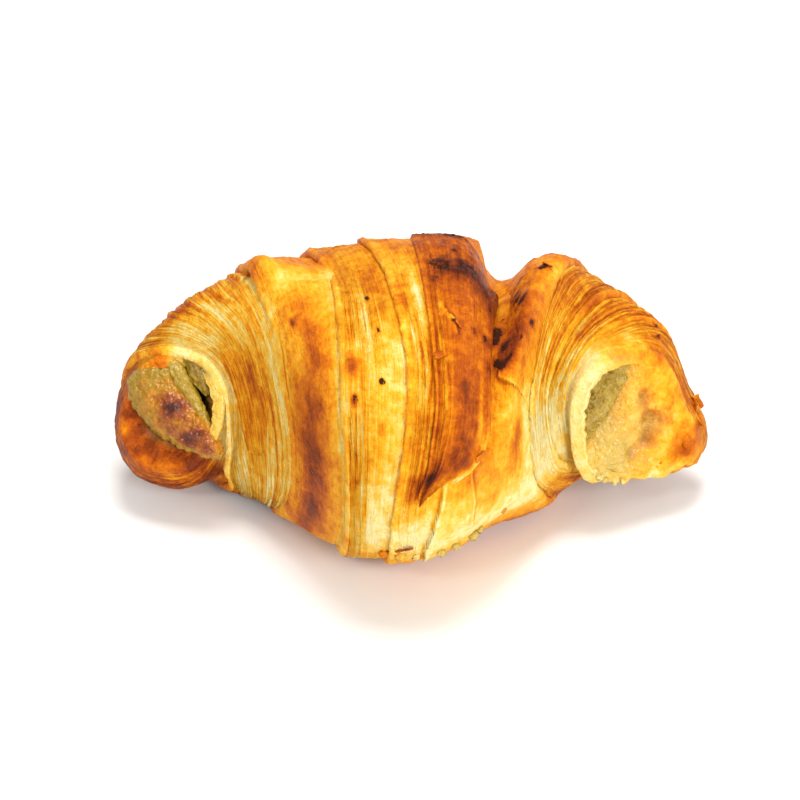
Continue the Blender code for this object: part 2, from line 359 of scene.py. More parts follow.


# %% [markdown]
# ## The surface of the crust
# Three things make the skin of a croissant: the ends of the dough's layers, which show as thin leaves that
# overlap and run round the roll wherever the sheet was cut, blisters where steam lifted the skin, and the
# browning, which is strongest on top and on whatever stands proud. The leaves also carry painted light and
# shade: each is paler where it stands high and darker at the foot of its step. Each wrap gets its own list
# of darker and paler places, because the oven treats each one differently.

# %% Leaves, blisters and browning
def angles_round(columns):
    """Angles for the columns of a wrap, closer together over the top and the front, where detail shows."""
    fine = np.linspace(0.0, 360.0, 721)
    crowding = 1.0 + 0.8 * (1 + np.cos(np.radians(fine - 45.0)))
    total = np.concatenate(([0.0], np.cumsum(0.5 * (crowding[1:] + crowding[:-1]))))
    return np.interp(np.arange(columns) / columns, total / total[-1], fine)


def leaf_edges(across, around, count, side, seed):
    """Overlapping leaves of dough, each rising slowly and dropping at its edge: their height and tone."""
    waver = 0.9 * rumple_round(across * 2.2, around, 6, seed)
    waver = waver + 0.13 * rumple_round(across * count * 0.7, around, 30, seed + 1)
    place = across * count + waver
    leaf = np.floor(place)
    climb = place - leaf if side < 0 else 1.0 - (place - leaf)
    strength = 0.6 + 0.55 * rumple_round(leaf * 5.3, around, 9, seed + 2)
    tone = 0.5 * rumple_round(leaf * 3.7, around, 6, seed + 3)
    tone = tone + 0.7 * rumple_round(place * 0.8, around, 8, seed + 4)
    return climb * np.clip(strength, 0.05, 1.2), tone


def blisters(points, seed):
    """Large soft lumps, bubbles of two sizes and a fine grain."""
    large = rumple(points, 7.5, seed)
    bubbles = np.maximum(rumple(points, 3.0, seed + 1), 0.0) ** 1.4
    small = np.maximum(rumple(points, 1.5, seed + 2), 0.0)
    grain = rumple(points, 0.8, seed + 3)
    return 0.4 * large + 0.6 * bubbles + 0.34 * small + 0.2 * grain


def patches(across, around, spots):
    """The sum of soft spots, each with its own strength."""
    total = np.zeros(np.broadcast(across, around).shape)
    for *spot, strength in spots:
        total += strength * soft_spot(across, around, *spot)
    return total


TIGHTEST_BEND = 7.0        # millimetres to a station, at least, where the inside of a bend is cramped
ROOMY = 11.0               # millimetres to a station from which leaves and blisters reach their full height


def mm_per_station(along, around):
    """How many millimetres one station is on the surface there."""
    step = 0.02
    ahead = roll_point(along + step, around)
    back = roll_point(along - step, around)
    return np.linalg.norm(ahead - back, axis=-1) / (2 * step)


def sideways(shift, along, around):
    """A shift across the wrap, from millimetres to stations."""
    return shift / np.maximum(mm_per_station(along, around), TIGHTEST_BEND)


# %% [markdown]
# ## One wrap, step by step
# A wrap starts where it comes out from under its neighbour (or at its own lip) and ends at its lip (or
# under the next one). The profile is a list of places: how far across the skin, how far below it, and how
# far beyond the edge. Rounding the lip with a real radius and letting it overhang is what gives each
# edge its thin dark shadow.

# %% The profile and the wrap
SHEET = 3.2                # thickness of the hidden part of a wrap
LIP_STEPS = 7
LIP_WANDERS = 0.35         # how far a torn lip wanders, in millimetres
FOLD_LINE = 0.035          # how far the pale line and the painted shadow line lie from the edge of a fold, in stations
LEAF_HEIGHT = 0.8          # height of a leaf at a cut edge, in millimetres
BLISTER_HEIGHT = 0.75      # height of the blisters
SCORCH_HEIGHT = 0.45       # how far burnt places stand proud
BACK_BAKE = 0.46           # how baked the back is on the whole
UNDER_BAKE = 0.5           # and the underside


def lip_profile(height, overhang, end):
    """From the skin over the lip to below the neighbour: (share across, drop, shift outward) rows."""
    radius = min(0.55 * height, 1.1)
    rows = []
    for step in range(1, LIP_STEPS + 1):
        angle = 0.5 * math.pi * step / LIP_STEPS
        rows.append((end, radius * (1 - math.cos(angle)), overhang * math.sin(angle)))
    rows.append((end, 0.5 * (radius + height), overhang * 0.95))
    rows.append((end, height + 0.5, overhang * 0.55))
    rows.append((end, height + 1.4, -1.5))
    return rows


def tuck_profile(end):
    """The end of a wrap that lies under its neighbour."""
    return [(end, 0.9, 1.6), (end, SHEET, 1.0)]


def build_wrap(name, left, right, left_lip, right_lip, rows, columns, recipe):
    """A ring between two edges; a lip is an overhang in millimetres, or None for a tucked end."""
    around = angles_round(columns)
    left_line, right_line = edge_at(left, around), edge_at(right, around)
    skin = [(share, 0.0, 0.0) for share in np.linspace(0.0, 1.0, rows)]
    right_end = tuck_profile(1.0) if right_lip is None else lip_profile(EDGES[right][1], right_lip, 1.0)
    left_end = tuck_profile(0.0) if left_lip is None else lip_profile(EDGES[left][1], left_lip, 0.0)
    inside = [(share, SHEET + 0.6, 0.0) for share in (0.85, 0.5, 0.15)]
    profile = np.array(skin + right_end + inside + left_end[::-1])
    share, drop, shift = (profile[:, k][:, None] for k in range(3))
    along = left_line + share * (right_line - left_line)
    outward = np.where(share > 0.5, 1.0, -1.0)
    ragged = 0.5 * rumple_round(0.0, around, 60, recipe["seed"] + 5)
    ragged = ragged + 0.5 * rumple_round(7.0, around, 150, recipe["seed"] + 6)
    at_lip = ((share < 0.02) | (share > 0.98)) & (shift >= 0)
    shift = np.where(shift < 0, shift, shift + LIP_WANDERS * at_lip * ragged)
    along = along + outward * sideways(shift, along, around)
    lift, values = dress(along, around, share + 0 * around, recipe)
    points = roll_point(along, around, lift - drop, (lift - drop) * crease(along, around))
    return ring_of_dough(name, points, values)


# What the crust's material reads: how baked, burnt, layered and stained a place is, with painted shade and
# painted highlight in the number for how baked, and how many millimetres across the wrap it lies.
CRUST_NUMBERS = ("bake_and_shade", "char", "layered", "green", "across")


def fold_lift(along, around, folds):
    """Steps that run along short lines of pairs and fade at their ends: their height, and their edge lines,
    a painted shadow line at the foot of each step and a paler line on its raised side.
    """
    lift = np.zeros(np.broadcast(along, around).shape)
    edge = np.zeros_like(lift)
    for pairs, height, side, reach, fade in folds:
        angle, place = np.array(pairs, dtype=float).T
        order = np.argsort(angle)
        angle, place = angle[order], place[order]
        first, last = angle[0], angle[-1]
        wide = turned(around, 0.5 * (first + last)) + 0.5 * (first + last)
        past = (along - np.interp(wide, angle, place)) * side
        there = smooth_rise(wide, first - fade, first) * (1 - smooth_rise(wide, last, last + fade))
        lift = lift + there * height * np.where(past > 0, np.exp(-np.maximum(past, 0) / reach), 0.0)
        edge = edge + there * (np.exp(-(past / FOLD_LINE - 1) ** 2) - np.exp(-(past / FOLD_LINE + 1) ** 2))
    return lift, edge


def dress(along, around, across, recipe):
    """The height of a wrap's skin above the plain roll, and the numbers its material reads."""
    def spots(kind):
        return patches(across, around, recipe.get(kind, ()))

    around = around + 0 * along
    plain = roll_point(along, around)
    seed, side, layers = recipe["seed"], recipe["side"], recipe["layers"]
    split = EDGE_ORDER.index(recipe["after"]) + 1 if recipe["after"] else 0
    skip = recipe.get("skip", ())
    left_edges = [edge for edge in EDGE_ORDER[:split] if edge not in skip]
    right_edges = [edge for edge in EDGE_ORDER[split:] if edge not in skip]
    lift = edge_lift(along, around, left_edges, right_edges) + swelling_lift(along, around)
    for edge in skip:
        height, _, reach = EDGES[edge][1:]
        groove = np.exp(-np.abs(along - edge_at(edge, around)) / reach)
        lift = lift - height * (1 - LIP_SHARE) * groove * tip_fade(around)
    layered = np.clip(recipe["layered"] + spots("layers_at"), 0, 1)
    inner = smooth_rise(across, 0.0, 0.03) * (1 - smooth_rise(across, 0.97, 1.0))
    layered = layered * (0.15 + 0.85 * inner)
    coarse, tone = leaf_edges(across, around, layers, side, seed)
    fine, fine_tone = leaf_edges(across, around, 2.7 * layers, side, seed + 50)
    bumps = blisters(plain, seed + 10)
    folds, fold_shadow_and_pale_line = fold_lift(along, around, recipe.get("folds", ()))
    room = np.clip(mm_per_station(along, around) / ROOMY, 0.1, 1.0)
    lift = lift + room * LEAF_HEIGHT * layered * (coarse + 0.5 * fine - 0.6)
    lift = lift + room * (1 - 0.6 * layered) * bumps * BLISTER_HEIGHT
    lift = lift + room * spots("blisters_at") * (0.5 + bumps)
    scorched = np.clip(spots("burnt"), 0, 1)
    lift = lift + folds + spots("relief") + SCORCH_HEIGHT * scorched
    bake_and_shade = recipe["bake_and_shade"] + spots("browning")
    underneath = smooth_rise(-np.sin(np.radians(around)), 0.8, 0.98)
    behind = smooth_rise(-np.cos(np.radians(around)), 0.1, 0.6)
    bake_and_shade = bake_and_shade * (1 - behind) + behind * (BACK_BAKE + 0.3 * (recipe["bake_and_shade"] - 0.4))
    bake_and_shade = bake_and_shade * (1 - underneath) + underneath * UNDER_BAKE
    # painted light on the leaves: paler where a leaf stands high (painted highlight), darker at the foot of
    # its step (painted shade); tone and fine_tone vary at random
    bake_and_shade = bake_and_shade + layered * (0.18 * tone + 0.13 * fine_tone - 0.22 * (coarse - 0.5) - 0.14 * (fine - 0.5))
    bake_and_shade = bake_and_shade + (1 - 0.5 * layered) * (0.2 * bumps + 0.06 * rumple(plain, 12.0, seed + 20))
    # painted shade along each fold: darker at the foot of its step, paler on its raised side
    bake_and_shade = bake_and_shade - 0.16 * fold_shadow_and_pale_line
    bake_and_shade = bake_and_shade + 0.26 * scorched
    green = np.clip(spots("stained"), 0, 1)
    numbers = (np.clip(bake_and_shade, recipe.get("palest", 0), 1), scorched, layered, green, across * recipe["width"])
    return lift, {key: value + 0 * along for key, value in zip(CRUST_NUMBERS, numbers)}


TIP_TOP = 22.0             # the angle above which the tongue's edges have their full height
TIP_END = 5.0              # the angle at which they have died away
TAIL_START = 240.0         # underneath, they die away from here
TAIL_END = 290.0           # to here


def tip_fade(around):
    """How much of the tongue's edges is left at each angle: none below its tip."""
    angle = around % 360
    return smooth_rise(angle, TIP_END, TIP_TOP) * (1 - smooth_rise(angle, TAIL_START, TAIL_END))


# %% [markdown]
# ## The wraps of the left side
# Going left from the middle, each wrap shows a smooth browned skin and, on its left, the sloping cut edge
# of the sheet with its layers. The first wrap is nearly all cut edge: it fans out round the left mouth.

# %% First, second and third wrap
# A spot in a recipe is: share across the wrap, angle, reach across, reach round in degrees, strength.
# A fold is: its line of (angle, station) pairs, height, side, reach in stations, fade in degrees.
wraps = {}
wraps["first_wrap"] = build_wrap(
    "first_wrap", "left collar", "horn line", left_lip=1.1, right_lip=None, rows=190, columns=420,
    recipe={
        "seed": 100, "side": 1, "after": "left collar", "layered": 1.0, "layers": 17, "bake_and_shade": 0.14,
        "palest": 0.1, "width": 26.0,
        "layers_at": [(0.04, 35, 0.14, 60, -0.75), (0.5, 92, 0.5, 14, -0.35)],
        "browning": [
            (0.05, 32, 0.14, 70, -0.1), (0.3, 38, 0.05, 40, 0.07), (0.78, 45, 0.12, 40, 0.09),
            (0.5, 128, 0.4, 14, 0.24), (0.98, 40, 0.05, 50, -0.08), (0.45, 88, 0.3, 16, -0.14),
            (0.6, 30, 0.15, 30, 0.06)],
        "stained": [(0.03, 32, 0.07, 42, 0.35), (0.06, 66, 0.05, 20, 0.45)]})
wraps["second_wrap"] = build_wrap(
    "second_wrap", "horn line", "shoulder line", left_lip=0.9, right_lip=None, rows=100, columns=440,
    recipe={
        "seed": 200, "side": 1, "after": "horn line", "layered": 0.1, "layers": 10, "bake_and_shade": 0.27,
        "width": 17.0,
        "layers_at": [(0.0, 40, 0.14, 60, 0.8), (0.95, 20, 0.12, 80, 0.35)],
        "browning": [
            (0.5, 76, 0.22, 11, 0.2), (0.62, 56, 0.18, 12, 0.31), (0.44, 36, 0.24, 12, 0.3),
            (0.38, 12, 0.28, 18, 0.44), (0.34, -18, 0.26, 18, 0.46), (0.3, -45, 0.2, 14, 0.3),
            (0.5, 100, 0.6, 12, -0.04), (0.98, 20, 0.1, 80, -0.2), (0.31, 71.5, 0.05, 2.2, 0.3),
            (0.02, 62, 0.06, 26, -0.15), (0.02, 100, 0.08, 10, 0.2)],
        "blisters_at": [(0.18, 46, 0.12, 10, 0.5), (0.66, 56, 0.14, 8, 0.4)],
        "relief": [(0.12, 106, 0.25, 12, 2.4)],
        "burnt": [(0.31, 71.5, 0.05, 2.2, 0.6)]})
wraps["third_wrap"] = build_wrap(
    "third_wrap", "shoulder line", "belly line", left_lip=1.1, right_lip=None, rows=96, columns=440,
    recipe={
        "seed": 300, "side": 1, "after": "shoulder line", "layered": 0.22, "layers": 9, "bake_and_shade": 0.22,
        "width": 16.0,
        "layers_at": [
            (0.16, 20, 0.24, 60, 0.8), (0.14, 54, 0.14, 8, -0.9), (0.16, 41, 0.08, 4, -0.8),
            (0.45, 78, 0.3, 18, 0.35)],
        "browning": [
            (0.08, 68, 0.1, 9, 0.16), (0.13, 54, 0.13, 4.5, 0.42), (0.16, 41, 0.06, 3.2, 0.45),
            (0.42, 72, 0.05, 20, -0.2), (0.3, 45, 0.08, 25, 0.06), (0.55, 20, 0.2, 25, 0.04),
            (0.6, -8, 0.6, 22, -0.2), (0.12, 12, 0.14, 22, 0.06), (0.85, 60, 0.1, 30, -0.06),
            (0.5, 94, 0.6, 12, 0.2)],
        "blisters_at": [(0.13, 54, 0.12, 5, 0.8), (0.85, 60, 0.12, 40, 0.35)],
        "relief": [(0.35, 100, 0.6, 16, -1.0), (0.05, 104, 0.2, 12, -1.5)],
        "burnt": [
            (0.49, 83.5, 0.045, 1.5, 1.1), (0.58, 68.5, 0.035, 1.3, 1.1), (0.56, 48, 0.06, 1.8, 1.1),
            (0.17, 42, 0.06, 2.6, 0.62), (0.13, 54, 0.08, 3.0, 0.4), (0.15, 9, 0.04, 1.4, 0.7)]})

# %% [markdown]
# ## The wide wrap under the tongue
# The sheet makes its last full turn here. It shows on both sides of the tongue: layered on the left,
# smooth and dark on the right where it sinks into the valley, and pale low on the front.

# %% The wide wrap
wraps["wide_wrap"] = build_wrap(
    "wide_wrap", "belly line", "right shoulder line", left_lip=0.9, right_lip=0.7, rows=190, columns=440,
    recipe={
        "seed": 400, "side": 1, "after": "tongue left", "skip": ("tongue left", "tongue right"),
        "layered": 0.08, "layers": 26, "bake_and_shade": 0.34, "width": 45.0,
        "layers_at": [(0.05, 42, 0.1, 60, 0.9)],
        "browning": [
            (0.7, 82, 0.26, 26, 0.25), (0.7, 62, 0.18, 12, 0.42), (0.55, -18, 0.6, 15, -0.3),
            (0.1, -16, 0.12, 20, -0.3), (0.86, 14, 0.06, 7, 0.22), (0.64, -5, 0.05, 5, 0.16),
            (0.04, 60, 0.05, 50, -0.16), (0.085, 80, 0.025, 12, -0.32), (0.02, 82, 0.03, 8, 0.26),
            (0.6, 109, 0.06, 12, 0.3), (0.1, 6, 0.05, 5, 0.4), (0.82, 24, 0.2, 14, -0.1),
            (0.97, 8, 0.05, 34, -0.26), (0.9, -24, 0.2, 14, -0.16)],
        "blisters_at": [(0.86, 14, 0.07, 9, 0.8), (0.72, 65, 0.15, 20, 0.4)],
        "folds": [
            ([(52, 7.15), (38, 7.8), (28, 8.5)], 1.0, 1, 0.35, 6),
            ([(1, 5.72), (-6, 5.62), (-22, 5.46), (-34, 5.42)], 1.5, 1, 0.5, 5),
            ([(8, 6.45), (-2, 6.6), (-12, 6.5)], 0.7, -1, 0.3, 6)],
        "burnt": [
            (0.6, 106, 0.03, 5.0, 0.75), (0.585, 114, 0.03, 4.0, 0.8), (0.643, 98, 0.036, 2.2, 1.2),
            (0.7, 94, 0.04, 2.0, 1.2), (0.76, 85, 0.05, 2.2, 1.2), (0.71, 90, 0.03, 1.8, 1.1),
            (0.569, 79, 0.045, 3.6, 1.5), (0.553, 74, 0.036, 4.0, 1.4), (0.637, 66, 0.042, 2.2, 1.3),
            (0.592, 57.5, 0.028, 2.0, 1.5), (0.56, 60, 0.028, 2.0, 1.5), (0.624, 55, 0.028, 2.0, 1.5),
            (0.912, 65.5, 0.034, 2.0, 1.3), (0.895, 99, 0.044, 2.4, 1.2), (0.68, 56, 0.036, 1.8, 1.2),
            (0.725, 102, 0.035, 1.6, 0.9), (0.8, 60, 0.02, 1.4, 0.9), (0.61, 88, 0.02, 1.4, 0.9),
            (0.105, 5, 0.02, 2, 0.6)]})

# %% [markdown]
# ## The wraps of the right side
# On the right the lips face the other way. The cut edges stack up closely here and fan round the mouth.

# %% The two right wraps
wraps["right_wrap"] = build_wrap(
    "right_wrap", "right shoulder line", "right horn line", left_lip=None, right_lip=0.5, rows=90,
    columns=420,
    recipe={
        "seed": 500, "side": -1, "after": "right shoulder line", "layered": 0.9, "layers": 7, "bake_and_shade": 0.26,
        "width": 12.0,
        "layers_at": [(0.5, -20, 0.9, 22, -0.6)],
        "relief": [(0.0, 10, 0.08, 60, -0.5)],
        "browning": [(0.5, 100, 0.8, 20, 0.16), (0.6, 2, 0.9, 34, -0.34), (0.1, 60, 0.15, 30, 0.08)]})
wraps["right_horn_wrap"] = build_wrap(
    "right_horn_wrap", "right horn line", "right collar", left_lip=None, right_lip=0.5, rows=64,
    columns=400,
    recipe={
        "seed": 600, "side": -1, "after": "right horn line", "layered": 0.9, "layers": 5, "bake_and_shade": 0.27,
        "width": 9.0,
        "layers_at": [(0.5, -10, 0.9, 30, -0.6)],
        "relief": [(0.0, 10, 0.1, 60, -0.6)],
        "browning": [(0.5, 112, 0.8, 26, 0.18), (0.5, 5, 0.9, 40, -0.34)]})

# %% [markdown]
# ## The tongue
# The tip of the triangle comes over the top and ends low on the front in a blunt curl. It isn't a ring, so
# a sphere is the better start: one pole becomes the tip, the other one the tail underneath, and every
# parallel becomes one section through the strip.

# %% The last wrap
TONGUE_TIP = -1.0          # angle of the tip, low on the front
TONGUE_TAIL = 285.0        # angle where the tail has sunk into the wrap below
TAIL_SINKS = 3.5           # how deep it lies there, in millimetres


def sheet_between_poles(name, points, tips, values):
    """A sphere primitive laid on a grid of points: rows from pole to pole, columns round each section."""
    rows, columns = points.shape[:2]
    piece = add_piece(name, bpy.ops.mesh.primitive_uv_sphere_add, segments=columns, ring_count=rows + 1)
    x, y, z = points_of(piece).T
    row = np.rint(np.arccos(np.clip(z, -1, 1)) / math.pi * (rows + 1)).astype(int) - 1
    column = step_of(np.arctan2(y, x), columns)
    inside = np.clip(row, 0, rows - 1)
    laid = points[inside, column]
    laid[row < 0] = tips[0]
    laid[row >= rows] = tips[1]
    move_points(piece, laid * MM)
    paint(piece, {key: grid[inside, column] for key, grid in values.items()})
    return finish_mesh(piece)


def build_tongue(rows, skin_columns, recipe):
    """The strip from tip to tail; its sections narrow to a point at the tip."""
    around = np.linspace(TONGUE_TIP, TONGUE_TAIL, rows)[:, None]
    left, right = edge_at("tongue left", around), edge_at("tongue right", around)
    left = left - 0.12 * (1 - smooth_rise(around, 2, 14))
    width = 0.01 + smooth_rise(around, TONGUE_TIP - 5, 9) * np.maximum(right - left, 0.0)
    right = left + width
    height, _, reach = EDGES["tongue right"][1:]
    skin = [(share, 0.0, 0.0) for share in np.linspace(0.0, 1.0, skin_columns)]
    profile = skin + lip_profile(height, 0.8, 1.0) + [(0.5, 2.2, 0.0)]
    profile = np.array(profile + lip_profile(1.2, 0.5, 0.0)[::-1])
    share, drop, shift = (profile[:, k][None, :] for k in range(3))
    along = left + share * (right - left)
    outward = np.where(share > 0.5, 1.0, -1.0)
    narrow = smooth_rise(right - left, 0.0, 0.5)
    along = along + outward * narrow * sideways(shift, along, around + 0 * along)
    lift, values = dress(along, around, share + 0 * around, recipe)
    under = height * LIP_SHARE * np.exp(-np.abs(along - right) / reach)
    low = lift - under * (1 - smooth_rise(around, 10, 45))
    sunk = TAIL_SINKS * smooth_rise(around, TAIL_START - 15, TAIL_END - 10)
    thin = 0.25 + 0.75 * smooth_rise(around, TONGUE_TIP, 45)
    low = low + 0.6 * (1 - smooth_rise(around, 20, 50)) - sunk - drop * thin
    points = roll_point(along, around + 0 * along, low)
    tips = [points[0].mean(axis=0), points[-1].mean(axis=0)]
    return sheet_between_poles("tongue", points, tips, values)


wraps["tongue"] = build_tongue(rows=560, skin_columns=110, recipe={
    "seed": 700, "side": 1, "after": "tongue left", "layered": 0.12, "layers": 13, "bake_and_shade": 0.55,
    "width": 18.0,
    "layers_at": [(0.0, 40, 0.16, 60, 0.8), (0.5, 98, 0.6, 14, 0.25)],
    "browning": [
        (0.42, 42, 0.15, 8, 0.12), (0.42, 28, 0.17, 9, 0.14), (0.52, 16, 0.24, 5, 0.22),
        (0.5, 110, 0.9, 12, 0.1), (1.0, 75, 0.1, 30, 0.12), (0.08, 55, 0.12, 34, -0.22),
        (0.5, 91, 0.6, 6, 0.18), (0.8, 36, 0.07, 16, -0.22), (1.0, 14, 0.1, 14, -0.36),
        (0.1, 9, 0.16, 3.5, 0.3), (0.9, 4, 0.2, 5, -0.25), (0.55, 66, 0.4, 16, 0.06),
        (0.02, 96, 0.12, 12, -0.12)],
    "blisters_at": [(0.6, 96, 0.6, 14, 0.7), (0.25, 66, 0.12, 6, 0.6), (0.5, 14, 0.3, 6, 0.4)],
    "relief": [(1.0, 116, 0.34, 16, -2.4)],
    "folds": [([(74, 5.72), (68, 5.84), (63, 5.96)], 0.7, -1, 0.15, 3)],
    "burnt": [
        (0.08, 121, 0.12, 3, 0.8), (0.28, 120, 0.16, 4, 0.85), (0.5, 117, 0.16, 4, 0.8),
        (0.72, 112, 0.12, 4, 0.7), (0.94, 103, 0.1, 5, 0.85), (0.12, 95, 0.1, 2.6, 0.7),
        (0.22, 91, 0.1, 3.4, 0.72), (0.44, 92, 0.13, 4.6, 0.68), (0.64, 91, 0.12, 5.0, 0.58),
        (0.82, 88, 0.09, 3.4, 0.56), (0.95, 82, 0.05, 2.6, 0.9), (0.96, 98, 0.05, 3.5, 0.9),
        (0.34, 101, 0.04, 1.6, 0.9), (0.62, 66.5, 0.06, 1.8, 0.95), (0.1, 86, 0.08, 2.5, 0.62),
        (0.56, 104, 0.04, 1.6, 0.8), (0.86, 66, 0.06, 2.2, 1.0), (0.27, 67, 0.03, 2.5, 0.8),
        (0.08, 9.5, 0.1, 1.5, 0.9)]})

# %% [markdown]
# ## The two horns
# At each end the crust rolls over a rim and turns inward, so the horn is a ring as well: outer skin, rim,
# the wall of the mouth and a hidden way back through the dough. The mouths lie where the solids have
# theirs: a round throat on the left, and on the right a shallow face of soft dough with a pocket in it.

# %% Skin, rim and wall of a horn
WALL = 2.0                 # thickness of the dough between a mouth and the hidden way back


def build_horn(name, rim, collar, wall, wall_rows, skin_rows, columns, recipe, face):
    """A horn: rim is its station, collar the edge it runs under, wall the control rows of its mouth."""
    around = angles_round(columns)
    outward = 1.0 if rim > 0 else -1.0
    far = edge_at(collar, around) - outward * 0.25
    share = np.linspace(0.0, 1.0, skin_rows)[:, None]
    along = far + share * (rim - far)
    lift, values = dress(along, around, share + 0 * around, recipe)
    skin = roll_point(along, around + 0 * along, lift, lift * crease(along, around))
    rim_along = np.full(columns, float(rim))
    rim_lift = lift[-1]
    rims = [roll_point(rim_along, around, rim_lift - inset, outward * bulge) for inset, bulge in face["rim"]]
    rows = curve_through(np.array(wall, dtype=float), np.linspace(0, len(wall) - 1, wall_rows))
    walls = []
    for number, (at, half_depth, half_height, forward, to_front, up) in enumerate(rows):
        place = np.full(columns, at)
        points = section_point(place, around, half_depth, half_height, forward, to_front, up)
        if number == 0:
            gap = rims[-1] - points
        walls.append(points + gap * (1 - smooth_rise(number / wall_rows, 0.0, 0.35)))
    hidden = []
    for at, half_depth, half_height, forward, to_front, up in rows[::-8]:
        if abs(at - rim) < face["thin_from"]:
            break
        place = np.full(columns, at)
        half_depth, half_height = half_depth + WALL, half_height + WALL
        hidden.append(section_point(place, around, half_depth, half_height, forward, to_front, up))
    hidden.append(roll_point(far, around, lift[0] - SHEET, -SHEET * crease(far, around)))
    points = np.concatenate([skin, rims, walls, hidden])
    rough = 0.45 * rumple(points, (2.2, 2.2, 1.1), recipe["seed"] + 60)
    rough = rough + 0.15 * rumple(points, 0.8, recipe["seed"] + 61)
    heading = points[len(skin) + 2] - points[len(skin) - 1]
    heading = heading / np.linalg.norm(heading, axis=-1, keepdims=True)
    open_rows = slice(len(skin), len(skin) + len(rims) + wall_rows)
    points[open_rows] = points[open_rows] + rough[open_rows][..., None] * heading
    extra = len(points) - len(skin)
    shown = {}
    for key, grid in values.items():
        shown[key] = np.concatenate([grid, np.repeat(grid[-1:], extra, axis=0)])
    mouth = np.zeros(points.shape[:2])
    start = len(skin) + len(rims)
    mouth[start:start + wall_rows] = (np.arange(wall_rows) / (wall_rows - 1))[:, None]
    mouth[start + wall_rows:] = 1.0
    points, shown = face["shape"](points, shown, mouth)
    return ring_of_dough(name, points, shown)


def frame_of_mouth(along):
    """The directions of a mouth, to the front, rising and out of it, and its centre in millimetres."""
    place = curve_through(STATIONS, np.array(along, dtype=float))
    x, y, z, _, _, turn, lean = (float(number) for number in place)
    turn, lean = math.radians(turn), math.radians(lean)
    ahead = Vector((math.cos(turn), math.sin(turn), 0))
    front = Vector((math.sin(turn), -math.cos(turn), 0))
    rising = Vector((0, 0, 1)) * math.cos(lean) - ahead * math.sin(lean)
    out = rising.cross(front) if along > 5 else front.cross(rising)
    return [np.array(way) for way in (front, rising, out, Vector((x, y, z)))]


def in_the_mouth(points, station):
    """Places as seen straight into a mouth, in mm: to the front, up, and how far out of its plane."""
    front, rising, out, centre = frame_of_mouth(station)
    from_centre = points - centre
    return from_centre @ front, from_centre @ rising, from_centre @ out


def face_patches(to_front, up, spots):
    """The sum of round soft spots in the plane of a mouth: (to the front, up, reach, strength) each."""
    return sum(strength * np.exp(-((to_front - x) ** 2 + (up - y) ** 2) / reach ** 2)
               for x, y, reach, strength in spots)


THROAT = 13.8              # radius of the left mouth just inside its rim
LEFT_BLOTCHES_AND_HIGHLIGHT = (
    # to the front, up, reach, how much darker; the pale spot at (-10, 11) near the top of the rim is a
    # painted highlight
    (-6, -12, 12, 0.17), (8, -16, 7, -0.05), (-14, 0, 7, 0.05), (-10, 11, 5, -0.24),
    (-12, -9, 2.5, -0.14), (-4, -15, 2.0, -0.12), (-15, -4, 1.8, 0.1), (3, -13, 2.0, 0.1),
)


def left_mouth(points, shown, mouth):
    """The wall behind the left rim: stained by the paste, painted darker the deeper it lies as painted
    shade, and torn back in one place, where the deep paste shows."""
    to_front, up, beyond = in_the_mouth(points, 0)
    inside = mouth > 0
    torn_back = smooth_rise(THROAT - np.hypot(to_front, up), 0.0, 1.2) * smooth_rise(beyond, -4.0, -1.0)
    torn_back = torn_back * face_patches(to_front, up, ((3.2, 12.2, 4.6, 3.4),))
    points = points - torn_back[..., None] * frame_of_mouth(0)[2]
    mottled = 0.1 * rumple(points, 3.2, 861) + 0.08 * rumple(points, 1.4, 862)
    # painted shade: the wall darkens the deeper it lies in the mouth
    shown["bake_and_shade"] = np.where(inside, 0.6 + 0.6 * mouth + mottled, shown["bake_and_shade"] + mottled)
    deep = smooth_rise(mouth, 0.12, 0.3)
    shown["green"] = np.where(inside, 0.6 * deep * (1 - mouth), shown["green"])
    blotches_and_highlight = face_patches(to_front, up, LEFT_BLOTCHES_AND_HIGHLIGHT)
    # blotches on the wall, one of them a painted highlight near the top of the rim
    shown["bake_and_shade"] = np.clip(shown["bake_and_shade"] + np.where(inside, 0.5, 1.0) * blotches_and_highlight, 0, 1)
    pale_side = smooth_rise(0.8 * to_front + 0.6 * up, 2.0, 8.0) * (1 - smooth_rise(mouth, 0.25, 0.5))
    shown["bake_and_shade"] = shown["bake_and_shade"] * (1 - pale_side) + pale_side * 0.17
    shown["green"] = np.maximum(shown["green"], 0.45 * pale_side)
    return points, shown


# The walls of both mouths: station, half depth, half height, forward, to the front, up
LEFT_WALL = ((0, 10.6, 10.6, -0.2, 1.2, 1.2), (0, 9.6, 9.8, 1.6, 2.0, 2.0), (0.6, 9.2, 9.4, 1.0, 1.4, 1.4),
             (1.2, 9.0, 9.2, 0.0, 0.0, 0.6), (2, 8.0, 8.0, 0.0, -2.0, 0.0), (3, 9.0, 7.5, 0.0, 0.0, 0.0))
# The left horn's crust is darker than its browning alone would make it: part of that darkness is painted
# shade.
wraps["left_horn"] = build_horn(
    "left_horn", 0, "left collar", LEFT_WALL, wall_rows=40, skin_rows=110, columns=360,
    recipe={
        "seed": 800, "side": 1, "after": None, "layered": 0.35, "layers": 12, "bake_and_shade": 0.67, "width": 22.0,
        "layers_at": [(0.6, -75, 0.6, 60, 0.6)],
        "browning": [(0.9, 95, 0.5, 40, -0.16)],
        "blisters_at": [(0.9, 180, 0.4, 70, 0.4)]},
    face={"thin_from": 0.9, "shape": left_mouth,
          "rim": ((0.2, 0.35), (0.6, 0.65), (1.2, 0.85), (2.0, 0.85), (2.8, 0.6))})

